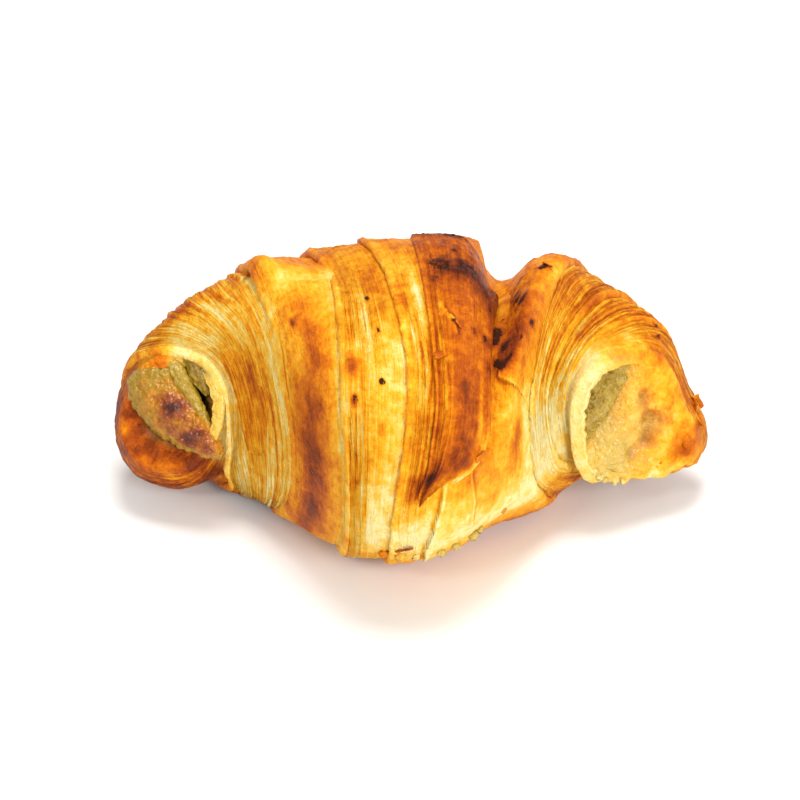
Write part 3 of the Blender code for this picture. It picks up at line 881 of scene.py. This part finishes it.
# %% The right horn
RIGHT_WALL = ((11, 12.0, 13.6, 1.4, 0.0, 0.1), (11, 10.6, 12.4, 1.5, 0.3, 0.5),
              (11, 8.6, 10.6, 1.4, 0.8, 0.8), (11, 6.2, 8.0, 1.2, 1.2, 1.2), (11, 3.4, 4.6, 1.0, 1.6, 1.6),
              (11, 0.1, 0.1, 0.6, 2.0, 2.0), (10.3, 0.6, 0.6, 0.0, 2.0, 2.0), (9, 1.5, 1.5, 0.0, 0.0, 1.0))
FACE_RELIEF = (
    # to the front, up, reach, height
    (0.4, 14.4, 3.4, -3.8), (2.6, 11.5, 4.2, -3.4), (5.8, 7.6, 5.0, -4.0), (9.2, 2.2, 4.8, -3.8),   # pocket
    (11.8, -2.2, 3.4, -2.4), (4.5, -6.5, 5.5, 2.0), (-2.2, 2.6, 3.2, 2.4),      # soft dough
    (-4.4, 3.4, 2.2, -2.4), (-6.0, -2.0, 2.2, -2.8), (-5.4, -7.0, 2.4, -3.0), (-0.5, -10.0, 2.2, -2.2),
    (-10.5, 2.0, 4.0, 0.8), (-9.5, -10.0, 3.5, 0.8),                            # by the rim
    (15.0, 6.5, 4.2, -2.0), (15.5, -2.0, 4.2, -2.2), (14.0, -10.0, 4.0, -1.6),  # soft side
)
FACE_BROWNING_AND_SHADE = (
    # to the front, up, reach, how much darker; one row is painted shade in the dents of the soft dough
    (-10.5, 3.0, 5.0, 0.22), (-9.0, 12.0, 5.0, 0.18), (-9.0, -6.0, 5.0, 0.16), (-15.0, -12.0, 5.0, 0.3),
    (-17.0, 0.0, 4.5, 0.12), (-12.0, 17.0, 6.0, 0.18), (0.0, 19.0, 5.0, 0.14), (-20.0, -12.0, 5.0, 0.26),
    # painted shade in the four dents of the soft dough
    (-4.2, 3.6, 2.2, 0.3), (-5.8, -2.0, 2.4, 0.34), (-4.6, -7.4, 2.6, 0.34), (0.0, -10.0, 2.0, 0.22),
    (-8.0, 0.5, 1.7, -0.2), (-9.5, -8.0, 2.2, -0.18), (-8.5, 7.0, 1.6, -0.14), (6.5, -4.0, 6.5, 0.2),
    (2.0, 6.0, 2.4, 0.16), (6.0, 0.5, 2.6, 0.16),
    (-12.5, -3.5, 1.4, -0.14), (-6.5, 12.5, 1.8, -0.12), (-12.0, -14.0, 3.0, 0.12), (9.0, 12.0, 5.0, -0.2),
    (15.0, 4.0, 7.0, -0.25), (15.0, -8.0, 7.0, -0.2), (4.5, 4.0, 4.5, 0.14), (9.5, -4.0, 4.0, 0.12),
    (-0.5, 14.0, 3.0, 0.16), (2.0, -11.0, 4.0, 0.1),
)
FACE_GREEN = (
    # to the front, up, reach, how green
    (6.0, 8.0, 6.5, 0.9), (8.0, -2.0, 7.0, 0.75), (2.0, -10.0, 6.0, 0.65), (-5.5, -4.0, 4.0, 0.6),
    (9.0, -12.0, 6.0, 0.45), (-3.6, 3.5, 2.6, 0.45), (-1.0, 11.0, 3.0, 0.4),
)
TOOTHED_EDGE = 1.1         # how far the torn lower edge of the face wanders, in millimetres


def right_mouth(points, shown, mouth):
    """The face of the right mouth: golden by the rim, soft pale dough with painted shade in its dents, and a
    hollow where paste lies.
    """
    to_front, up, beyond = in_the_mouth(points, RIGHT_RIM)
    reach_back = np.interp(to_front, (-14.0, 2.0), (1.2, 9.0))
    near = 1 - smooth_rise(-beyond, 0.15 * reach_back, reach_back)
    face = np.where(mouth > 0, 1.0, 0.0) * (1 - smooth_rise(mouth, 0.84, 0.96))
    crumb = rumple(points, 2.6, 901) + 0.8 * rumple(points, 1.2, 902) + 0.5 * rumple(points, 0.7, 903)
    _, rising, out, _ = frame_of_mouth(RIGHT_RIM)
    rise = face * (face_patches(to_front, up, FACE_RELIEF) + 0.62 * crumb)
    torn = TOOTHED_EDGE * rumple(points, (1.7, 1.7, 6.0), 904) * smooth_rise(-up, 9.0, 14.0)
    torn = torn * (1 - smooth_rise(-beyond, 1.0, 4.0)) * (1 - smooth_rise(mouth, 0.3, 0.6))
    points = points + rise[..., None] * out + torn[..., None] * rising
    # the colour of the face: baked tone, with painted shade in the dents
    dough = 0.18 + face_patches(to_front, up, FACE_BROWNING_AND_SHADE) + 0.09 * crumb
    shown["bake_and_shade"] = np.clip(shown["bake_and_shade"] * (1 - near) + near * dough, 0, 1)
    stained = np.clip(face_patches(to_front, up, FACE_GREEN), 0, 0.85)
    shown["green"] = np.maximum(shown["green"], near * stained)
    soft = np.maximum(face, near * smooth_rise(to_front, -8.0, 2.0))
    shown["layered"] = shown["layered"] * (1 - 0.9 * soft)
    return points, shown


wraps["right_horn"] = build_horn(
    "right_horn", RIGHT_RIM, "right collar", RIGHT_WALL, wall_rows=90, skin_rows=56, columns=400,
    recipe={
        "seed": 900, "side": -1, "after": "right collar", "layered": 0.8, "layers": 10, "bake_and_shade": 0.28,
        "width": 16.0,
        "layers_at": [(1.0, 85, 0.45, 50, -0.75)],
        "browning": [
            (0.3, 120, 0.6, 60, 0.05), (0.5, 0, 0.8, 55, -0.36), (0.8, 210, 0.5, 40, 0.02),
            (1.0, 75, 0.4, 40, -0.14)],
        "burnt": [(0.3, 130, 0.06, 2.5, 1.1), (0.6, 128, 0.05, 2.0, 1.1)]},
    face={"thin_from": 0.6, "shape": right_mouth, "rim": ((0.5, 0.5), (1.3, 0.9), (2.3, 1.2), (3.3, 1.4))})

# %% [markdown]
# ## The pistachio paste
# A plain strip of paste runs through the roll, out of sight. What shows is a toasted lump on the left,
# which swelled out of the mouth and browned, a pale ledge and deeper paste behind it, and a moist, coarse
# surface in the right pocket. Each starts as a sphere whose points are laid out to an outline, as
# proportional editing would do by hand, and Displace modifiers rough it up.

# %% Lumps of paste
def roughen(piece, size, strength):
    """One Displace modifier with a procedural texture, applied."""
    texture = bpy.data.textures.new(piece.name + "_rough", "CLOUDS")
    texture.noise_scale = size * MM
    modifier = piece.modifiers.new("rough", "DISPLACE")
    modifier.texture = texture
    modifier.texture_coords = "LOCAL"
    modifier.strength = strength * MM
    modifier.mid_level = 0.5
    bpy.ops.object.modifier_apply(modifier=modifier.name)


def leaf_of_paste(name, station, middle, tilt, sides, heights, detail, rough, toast):
    """A sphere drawn out to an outline in the plane of a mouth, all in millimetres.

    middle is (to the front, up, out); tilt turns the long side down from the front; sides holds rows of
    (place along the length, lower edge, upper edge); heights are how far it bulges out and in."""
    piece = add_piece(name, bpy.ops.mesh.primitive_uv_sphere_add, segments=detail, ring_count=detail)
    ball = points_of(piece)
    length, lower, upper = np.array(sides, dtype=float).T
    share = (ball[:, 2] + 1) / 2
    place = length[0] + share * (length[-1] - length[0])
    girth = np.hypot(ball[:, 0], ball[:, 1])
    around = np.arctan2(ball[:, 1], ball[:, 0])
    low, high = np.interp(place, length, lower), np.interp(place, length, upper)
    side = 0.5 * (low + high) + 0.5 * (high - low) * np.cos(around)
    height = np.where(np.sin(around) > 0, heights[0], heights[1]) * np.sin(around) * girth ** 0.7
    front, rising, out, centre = frame_of_mouth(station)
    angle = math.radians(tilt)
    lengthwise = front * math.cos(angle) - rising * math.sin(angle)
    crosswise = front * math.sin(angle) + rising * math.cos(angle)
    start = centre + front * middle[0] + rising * middle[1] + out * middle[2]
    points = start + np.outer(place, lengthwise) + np.outer(side, crosswise) + np.outer(height, out)
    move_points(piece, points * MM)
    darkening = np.zeros(len(points))
    for spot_place, spot_side, reach, strength in toast:
        darkening += strength * np.exp(-((place - spot_place) ** 2 + (side - spot_side) ** 2) / reach ** 2)
    darkening -= 0.3 * smooth_rise(-np.cos(around), 0.55, 0.95)
    paint(piece, {"toast": np.clip(darkening, 0, 1)})
    for size, strength in rough:
        roughen(piece, size, strength)
    return finish_mesh(piece)


STRIP_ENDS = (2.2, 9.6)    # stations between which the strip runs
STRIP_ROWS = 80
STRIP_SIDES = 48
strip_along = np.linspace(*STRIP_ENDS, STRIP_ROWS)[:, None]
strip_around = np.arange(STRIP_SIDES)[None, :] * 360.0 / STRIP_SIDES
strip_points = section_point(strip_along + 0 * strip_around, strip_around + 0 * strip_along, 7.0, 5.5)
strip_tips = [strip_points[0].mean(axis=0), strip_points[-1].mean(axis=0)]
paste = {"paste_strip": sheet_between_poles(
    "paste_strip", strip_points, strip_tips, {"toast": np.full(strip_points.shape[:2], 0.5)})}
paste["toasted_lump"] = leaf_of_paste(
    "toasted_lump", 0, middle=(0.7, -1.2, -0.8), tilt=23,
    sides=((-14.6, -0.6, 1.8), (-13.0, -4.0, 4.4), (-10.6, -5.8, 6.9), (-7.0, -6.6, 7.4), (-2.0, -7.0, 6.1),
           (4.3, -6.6, 4.5), (9.6, -5.2, 3.0), (14.0, -3.4, 1.4), (16.8, -1.4, -0.4)),
    heights=(4.2, 3.4), detail=180, rough=[(5.0, 1.8), (1.9, 1.5), (0.8, 0.6)],
    toast=[(-0.2, 1.6, 2.6, 0.34), (-0.5, 0.0, 7.0, 0.3), (5.5, -1.0, 5.0, 0.2), (8.2, -2.2, 2.2, 0.45),
           (12.8, -1.6, 3.5, 0.42), (9.6, 0.8, 1.6, 0.3), (2.0, 3.6, 1.6, 0.25)])
paste["pale_ledge"] = leaf_of_paste(
    "pale_ledge", 0, middle=(4.4, 4.8, -0.6), tilt=45,
    sides=((-10.0, -1.8, -0.2), (-7.5, -3.2, 1.0), (-2.5, -3.0, 0.8), (3.5, -2.6, 0.8), (9.4, -1.8, 0.0)),
    heights=(1.6, 2.4), detail=110, rough=[(2.2, 0.9), (0.9, 0.5)], toast=[(2.0, -1.0, 5.0, 0.14)])
paste["deep_paste"] = leaf_of_paste(
    "deep_paste", 0, middle=(4.1, 10.2, -2.0), tilt=49,
    sides=((-6.5, -0.5, 0.5), (-3.5, -2.8, 2.4), (1.5, -3.0, 2.6), (6.5, -1.2, 1.0)),
    heights=(1.8, 2.2), detail=110, rough=[(2.6, 1.5), (1.0, 0.8)],
    toast=[(0.0, 0.0, 6.0, 0.25), (-3.5, 2.6, 1.8, 0.4)])
paste["pocket_paste"] = leaf_of_paste(
    "pocket_paste", RIGHT_RIM, middle=(6.4, 6.6, -1.5), tilt=59,
    sides=((-11.8, -3.0, -0.8), (-9.8, -5.0, 1.8), (-7.0, -6.2, 3.6), (-1.1, -6.0, 4.0), (3.6, -5.4, 3.6),
           (9.6, -3.8, 2.4), (14.0, -1.0, 0.8)),
    heights=(1.8, 2.2), detail=180, rough=[(3.6, 2.0), (1.5, 1.6), (0.7, 0.6)],
    toast=[(-6.0, -2.0, 3.0, 0.12), (2.0, 2.0, 3.5, 0.15)])

# %% [markdown]
# ## Shards and crumbs
# Where steam has torn the skin, thin shards stand on the crust and break off at the toe, and crumbs hang
# under the belly. One shard and one crumb are modelled; each copy gets its own mesh, size and place.

# %% One shard and one crumb
def torn_cube(name, cuts, half_sizes, jitter, seed):
    """A cube, cut, stretched and torn by random steps of its corners."""
    piece = add_piece(name, bpy.ops.mesh.primitive_cube_add, size=2.0)
    bpy.ops.object.mode_set(mode="EDIT")
    bpy.ops.mesh.select_all(action="SELECT")
    bpy.ops.mesh.subdivide(number_cuts=cuts)
    bpy.ops.transform.tosphere(value=0.45)
    bpy.ops.transform.resize(value=[size * MM for size in half_sizes])
    bpy.ops.transform.vertex_random(offset=jitter * MM, uniform=1.0, seed=seed)
    bpy.ops.object.mode_set(mode="OBJECT")
    return piece


def copy_on_crust(model, name, place, size, turn, tilt, values):
    """A copy with its own mesh: place is (wrap, along, around, lift), size a share of the model's, and
    values are its CRUST_NUMBERS."""
    wrap, along, around, lift = place
    target = roll_point(np.array(along, dtype=float), np.array(around, dtype=float)) * MM
    _, spot, normal, _ = wraps[wrap].closest_point_on_mesh(target)
    mesh = model.data.copy()
    piece = put_in_scene(name, mesh)
    upright = normal.to_track_quat("Z", "Y").to_matrix().to_4x4()
    lean = Matrix.Rotation(math.radians(turn), 4, "Z") @ Matrix.Rotation(math.radians(tilt), 4, "X")
    mesh.transform(Matrix.Translation(spot + normal * lift * MM) @ upright @ lean @ Matrix.Scale(size, 4))
    mesh.name = name
    count = len(mesh.vertices)
    paint(piece, {key: np.full(count, value) for key, value in zip(CRUST_NUMBERS, values)})
    deselect_all()
    piece.select_set(True)
    bpy.context.view_layer.objects.active = piece
    return finish_mesh(piece)


shard = torn_cube("shard", 2, (1.6, 0.9, 0.13), 0.1, seed=3)
crumb = torn_cube("crumb", 2, (0.8, 0.7, 0.6), 0.2, seed=5)
SHARDS = (
    # wrap, along, around, lift, size, turn, tilt, how baked
    ("tongue", 5.64, 54, 0.4, 1.1, 165, 20, 0.62), ("tongue", 5.72, 71, 0.2, 0.6, 80, 20, 0.4),
    ("tongue", 5.78, 68, 0.2, 0.6, 40, -18, 0.34), ("tongue", 5.9, 66, 0.2, 0.7, 100, 16, 0.55),
    ("tongue", 6.62, 17, 0.3, 1.0, 20, 12, 0.55), ("second_wrap", 3.2, 48, 0.2, 0.6, 85, 22, 0.44),
    ("second_wrap", 3.28, 43, 0.2, 0.6, 70, -20, 0.5), ("second_wrap", 3.4, 110, 0.5, 1.8, 20, 12, 0.62),
    ("second_wrap", 3.52, 104, 0.4, 1.3, 150, -10, 0.5), ("third_wrap", 4.36, 58, 0.3, 0.8, 80, 18, 0.45),
    ("wide_wrap", 8.02, 100, 0.2, 0.8, 30, 14, 0.66), ("wide_wrap", 5.1, -22, 0.2, 1.2, 15, 20, 0.6),
)
TOE_SHARDS = 16
random = np.random.default_rng(12)
scraps = []
for number, (*place, size, turn, tilt, baked) in enumerate(SHARDS):
    scraps.append(copy_on_crust(shard, f"shard_{number:02d}", place, size, turn, tilt,
                                (baked, 0.2, 0.3, 0.0, number)))
for number in range(TOE_SHARDS):
    place = ("right_horn", random.uniform(10.0, 10.6), random.uniform(196, 224), random.uniform(-0.1, 0.4))
    scraps.append(copy_on_crust(shard, f"toe_shard_{number:02d}", place, random.uniform(0.7, 1.3),
                                random.uniform(60, 120), random.uniform(55, 95),
                                (random.uniform(0.35, 0.62), 0.1, 0.5, 0.0, number)))
CRUMBS = (
    # wrap, along, around, lift, size, how baked, how green
    ("third_wrap", 4.75, -27, 0.4, 1.2, 0.5, 0.0), ("wide_wrap", 5.05, -26, 0.4, 1.3, 0.3, 0.3),
    ("wide_wrap", 5.3, -30, 0.3, 1.1, 0.1, 0.5), ("wide_wrap", 5.7, -30, 0.3, 1.2, 0.12, 0.8),
    ("wide_wrap", 6.0, -30, 0.4, 1.1, 0.15, 0.9), ("wide_wrap", 6.6, -27, 0.4, 1.3, 0.25, 0.9),
    ("wide_wrap", 6.9, -25, 0.3, 1.0, 0.2, 0.8), ("wide_wrap", 7.6, -20, 0.2, 0.8, 0.4, 0.3),
    ("right_horn", 11.0, -48, -0.1, 1.0, 0.05, 0.4), ("right_horn", 11.0, -56, 0.0, 1.2, 0.05, 0.5),
    ("right_horn", 11.0, -63, -0.1, 0.9, 0.1, 0.5), ("right_horn", 11.0, -74, 0.0, 1.3, 0.06, 0.4),
    ("right_horn", 11.0, -82, -0.1, 1.0, 0.12, 0.3), ("right_horn", 11.0, -97, -0.2, 0.6, 0.16, 0.0),
    ("right_horn", 11.0, -112, -0.2, 0.6, 0.34, 0.0), ("right_horn", 11.0, -120, -0.2, 0.5, 0.44, 0.0),
)
for number, (*place, size, baked, green) in enumerate(CRUMBS):
    scraps.append(copy_on_crust(crumb, f"crumb_{number:02d}", place, size, 40 * number, 25 * number,
                                (baked, 0.0, 0.0, green, number)))
for model in (shard, crumb):
    bpy.data.objects.remove(model)
print("shards and crumbs:", len(scraps))

# %% [markdown]
# ## Materials
# All crust comes from one idea: how far a place has baked, with painted light and shade added to that number
# in some places. The numbers stored on the meshes say how strongly, a colour ramp turns them into dough,
# gold, brown and dark brown, and fine noise keeps them from looking painted. The same node group colours
# every piece, so that all pieces look baked in one oven.

# %% The oven: a node group from browning, painted shade included, to colour
def feed(tree, node, inputs):
    """Sets the inputs of a node: a value from another node is linked, any other is written in."""
    for name, value in inputs.items():
        if isinstance(value, bpy.types.NodeSocket):
            tree.links.new(value, node.inputs[name])
        else:
            node.inputs[name].default_value = value


def add_node(tree, kind, inputs=None, **settings):
    """Adds a shader node, sets its properties, and feeds its inputs."""
    node = tree.nodes.new("ShaderNode" + kind)
    for name, value in settings.items():
        setattr(node, name, value)
    feed(tree, node, inputs or {})
    return node


def math_node(operation):
    """A function that adds a Math node for this operation and gives its result."""
    def add(tree, first, second, clamp=False):
        node = add_node(tree, "Math", {0: first, 1: second}, operation=operation, use_clamp=clamp)
        return node.outputs[0]
    return add


plus, minus, times = (math_node(operation) for operation in ("ADD", "SUBTRACT", "MULTIPLY"))


def noise(tree, place, scale, detail, roughness):
    """Smooth random values, 0.5 on average."""
    inputs = {"Vector": place, "Scale": scale, "Detail": detail, "Roughness": roughness}
    return add_node(tree, "TexNoise", inputs).outputs[0]


def mapped(tree, value, start, end, low, high):
    """The value, mapped from start and end to low and high, and no further."""
    return add_node(tree, "MapRange", {0: value, 1: start, 2: end, 3: low, 4: high}).outputs[0]


def mix_colours(tree, share, first, second):
    return add_node(tree, "Mix", {0: share, 6: first, 7: second}, data_type="RGBA").outputs[2]


def colour_ramp(tree, share, stops):
    """Colours at places from 0 to 1, blended between them."""
    ramp = add_node(tree, "ValToRGB", {0: share})
    elements = ramp.color_ramp.elements
    elements.remove(elements[1])
    for position, colour in stops:
        stop = elements[0] if position == 0 else elements.new(position)
        stop.color = (*colour, 1.0)
    return ramp.outputs[0]


def new_group(name, inputs, outputs):
    """An empty node group with named sockets, all of them numbers but for Color."""
    tree = bpy.data.node_groups.new(name, "ShaderNodeTree")
    for sockets, way in ((inputs, "INPUT"), (outputs, "OUTPUT")):
        for socket in sockets:
            kind = "NodeSocketColor" if socket == "Color" else "NodeSocketFloat"
            tree.interface.new_socket(socket, in_out=way, socket_type=kind)
    return tree, tree.nodes.new("NodeGroupInput").outputs, tree.nodes.new("NodeGroupOutput")


BROWNING = (
    # how baked, then the colour
    (0.0, (0.92, 0.76, 0.33)),
    (0.12, (0.92, 0.6, 0.11)),
    (0.25, (0.92, 0.44, 0.018)),
    (0.38, (0.82, 0.29, 0.004)),
    (0.5, (0.66, 0.165, 0.001)),
    (0.64, (0.46, 0.085, 0.001)),
    (0.78, (0.26, 0.04, 0.002)),
    (1.0, (0.08, 0.013, 0.004)),
)
CHAR_COLOUR = (0.045, 0.011, 0.004, 1.0)
GREEN_DOUGH = (0.6, 0.43, 0.09, 1.0)

bake_and_shade_group, given, made = new_group("oven_browning_and_shade", ("Bake", "Char", "Green"), ("Color", "Roughness"))
stained = mix_colours(bake_and_shade_group, given["Green"], colour_ramp(bake_and_shade_group, given["Bake"], BROWNING), GREEN_DOUGH)
feed(bake_and_shade_group, made, {"Color": mix_colours(bake_and_shade_group, given["Char"], stained, CHAR_COLOUR),
                  "Roughness": mapped(bake_and_shade_group, given["Bake"], 0.1, 0.8, 0.56, 0.36)})
print("colours in the oven ramp:", len(BROWNING))

# %% [markdown]
# ## The grain of the crust
# Closer than half a millimetre the mesh can't follow, so a second group makes the finest layers and a
# mottled grain. It reads "across", the way across each wrap in millimetres, so that its lines stay
# parallel to the real leaves. A third group turns a burnt zone into black flecks with sharp outlines.

# %% The grain: a node group for fine lines and mottling
grain, given, made = new_group("crust_grain", ("Across", "Layered"), ("Tone", "Height"))
place = add_node(grain, "TexCoord").outputs["Object"]
parts = add_node(grain, "SeparateXYZ", {0: place}).outputs


def fine_lines(across, per_mm, stretch):
    """Noise drawn out into lines that run round the roll, from -0.5 to 0.5."""
    lines_at = add_node(grain, "CombineXYZ", {
        0: times(grain, across, per_mm),
        1: times(grain, parts[1], stretch),
        2: times(grain, parts[2], stretch)}).outputs[0]
    return minus(grain, noise(grain, lines_at, 1.0, 3.0, 0.65), 0.5)


broad = fine_lines(given["Across"], 1.3, 60.0)
thin = fine_lines(given["Across"], 3.4, 110.0)
lines = plus(grain, broad, times(grain, thin, 0.9))
lines = times(grain, lines, plus(grain, given["Layered"], 0.12))
mottle = minus(grain, noise(grain, place, 330.0, 5.0, 0.68), 0.5)
pores = noise(grain, place, 1000.0, 3.0, 0.6)
soft_grain = plus(grain, times(grain, mottle, 0.9), pores)
feed(grain, made, {"Tone": plus(grain, times(grain, lines, 1.1), times(grain, mottle, 1.1)),
                   "Height": plus(grain, times(grain, lines, 1.6), soft_grain)})

# %% The flecks: a node group from a burnt zone to black specks
flecks, given, made = new_group("char_flecks", ("Zone",), ("Mask",))
place = add_node(flecks, "TexCoord").outputs["Object"]
clusters = noise(flecks, place, 480.0, 2.0, 0.5)
specks = noise(flecks, place, 1500.0, 4.0, 0.7)
both = plus(flecks, times(flecks, clusters, 0.5), times(flecks, specks, 0.5))
limit = minus(flecks, 0.72, times(flecks, given["Zone"], 0.3))
mask = mapped(flecks, both, minus(flecks, limit, 0.012), plus(flecks, limit, 0.018), 0.0, 1.0)
feed(flecks, made, {"Mask": mask})

# %% The crust material
def read(tree, name):
    """A number stored on the mesh."""
    return add_node(tree, "Attribute", attribute_name=name).outputs["Fac"]


def put_group(tree, group, inputs):
    return add_node(tree, "Group", inputs, node_tree=group).outputs


def new_material(name):
    material = bpy.data.materials.new(name)
    material.use_nodes = True
    return material, material.node_tree, material.node_tree.nodes["Principled BSDF"]


crust, tree, shader = new_material("bake_and_shaded_crust")
detail = put_group(tree, grain, {"Across": read(tree, "across"), "Layered": read(tree, "layered")})
charred = put_group(tree, flecks, {"Zone": read(tree, "char")})[0]
# the stored bake, painted shade and highlight included, plus the fine tone
darkening = plus(tree, read(tree, "bake_and_shade"), times(tree, detail["Tone"], 0.6))
colour = put_group(tree, bake_and_shade_group, {"Bake": darkening, "Char": charred, "Green": read(tree, "green")})
beaded = plus(tree, detail["Height"], times(tree, charred, 0.5))
bump = add_node(tree, "Bump", {"Strength": 0.9, "Distance": 0.0011, "Height": beaded})
feed(tree, shader, {
    "Base Color": colour["Color"], "Roughness": colour["Roughness"], "Normal": bump.outputs[0],
    "Specular IOR Level": 0.12, "Coat Weight": times(tree, read(tree, "green"), 0.8, clamp=True),
    "Coat Roughness": 0.16})

# %% The paste materials
def paste_material(name, tones, roughness, scale, gloss):
    """Nut paste: clouds of colour from the toast stored on the mesh and from noise, on a nubbly surface."""
    material, tree, shader = new_material(name)
    place = add_node(tree, "TexCoord").outputs["Object"]
    wander = times(tree, minus(tree, noise(tree, place, scale, 5.0, 0.65), 0.5), 0.9)
    toast = plus(tree, plus(tree, read(tree, "toast"), 0.22), wander, clamp=True)
    wet = noise(tree, place, 500.0, 2.0, 0.5)
    nubs = noise(tree, place, 950.0, 3.0, 0.6)
    bump = add_node(tree, "Bump", {"Strength": 1.0, "Distance": 0.0009, "Height": nubs})
    feed(tree, shader, {
        "Base Color": colour_ramp(tree, toast, tones),
        "Roughness": mapped(tree, wet, 0.35, 0.65, *roughness),
        "Normal": bump.outputs[0], "Specular IOR Level": gloss, "Coat Weight": 0.5, "Coat Roughness": 0.1})
    return material


toasted = paste_material(
    "toasted_paste", ((0.0, (0.34, 0.25, 0.035)), (0.22, (0.36, 0.2, 0.008)), (0.42, (0.46, 0.18, 0.002)),
                      (0.62, (0.3, 0.065, 0.001)), (0.8, (0.16, 0.024, 0.001)), (1.0, (0.05, 0.008, 0.002))),
    roughness=(0.25, 0.5), scale=260.0, gloss=0.2)
moist = paste_material(
    "moist_paste", ((0.0, (0.56, 0.39, 0.06)), (0.3, (0.36, 0.22, 0.012)), (0.6, (0.22, 0.12, 0.005)),
                    (1.0, (0.1, 0.04, 0.004))),
    roughness=(0.2, 0.45), scale=300.0, gloss=0.3)

# %% Finishes, bodies and the solids they stand for
for piece in [*wraps.values(), *scraps]:
    piece.data.materials.append(crust)
    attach(piece, "root")
    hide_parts("pastry")
for name, piece in paste.items():
    piece.data.materials.append(toasted if name == "toasted_lump" else moist)
    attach(piece, "root")
    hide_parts("pistachio_filling")

# %% [markdown]
# ## Floor, light and camera
# A plain pale floor and soft studio light: a panel above and behind, a stronger one at the front right, a
# small one at the front left that makes the paste glisten, and an even sky. The camera looks down at about
# 35 degrees through a long lens.

# %% Stage
floor = add_piece("floor", bpy.ops.mesh.primitive_plane_add, size=4.0)
pale, tree, shader = new_material("pale_floor")
feed(tree, shader, {"Base Color": (0.86, 0.86, 0.85, 1), "Roughness": 0.6})
floor.data.materials.append(pale)

world = bpy.data.worlds.new("studio")
bpy.context.scene.world = world
world.use_nodes = True
sky = world.node_tree.nodes["Background"]
feed(world.node_tree, sky, {"Color": (1.0, 0.98, 0.94, 1), "Strength": 0.5})
LIT_POINT = Vector((0, 0, 0.03))


def panel(name, place, size, power):
    """A square area light that faces the croissant."""
    light = bpy.data.lights.new(name, "AREA")
    light.size = size
    light.energy = power
    lamp = put_in_scene(name, light)
    lamp.location = place
    lamp.rotation_euler = (LIT_POINT - Vector(place)).to_track_quat("-Z", "Y").to_euler()


panel("key_panel", (0.02, 0.16, 0.75), 0.32, 4.8)
panel("front_panel", (0.42, -0.7, 0.46), 0.4, 6.4)
panel("side_panel", (-0.42, -0.52, 0.58), 0.16, 1.4)

LOOK_AT = Vector((-2.44, 1.83, 30.59)) * MM
ELEVATION = math.radians(35.3)
DISTANCE = 0.62
camera = put_in_scene("camera", bpy.data.cameras.new("camera"))
camera.data.sensor_width = 36.0
camera.data.lens = 114.4
toward = Vector((0, -math.cos(ELEVATION), math.sin(ELEVATION)))
camera.location = LOOK_AT + toward * DISTANCE
camera.rotation_euler = (-toward).to_track_quat("-Z", "Y").to_euler()
bpy.context.scene.camera = camera
bpy.context.scene.view_settings.view_transform = "Standard"
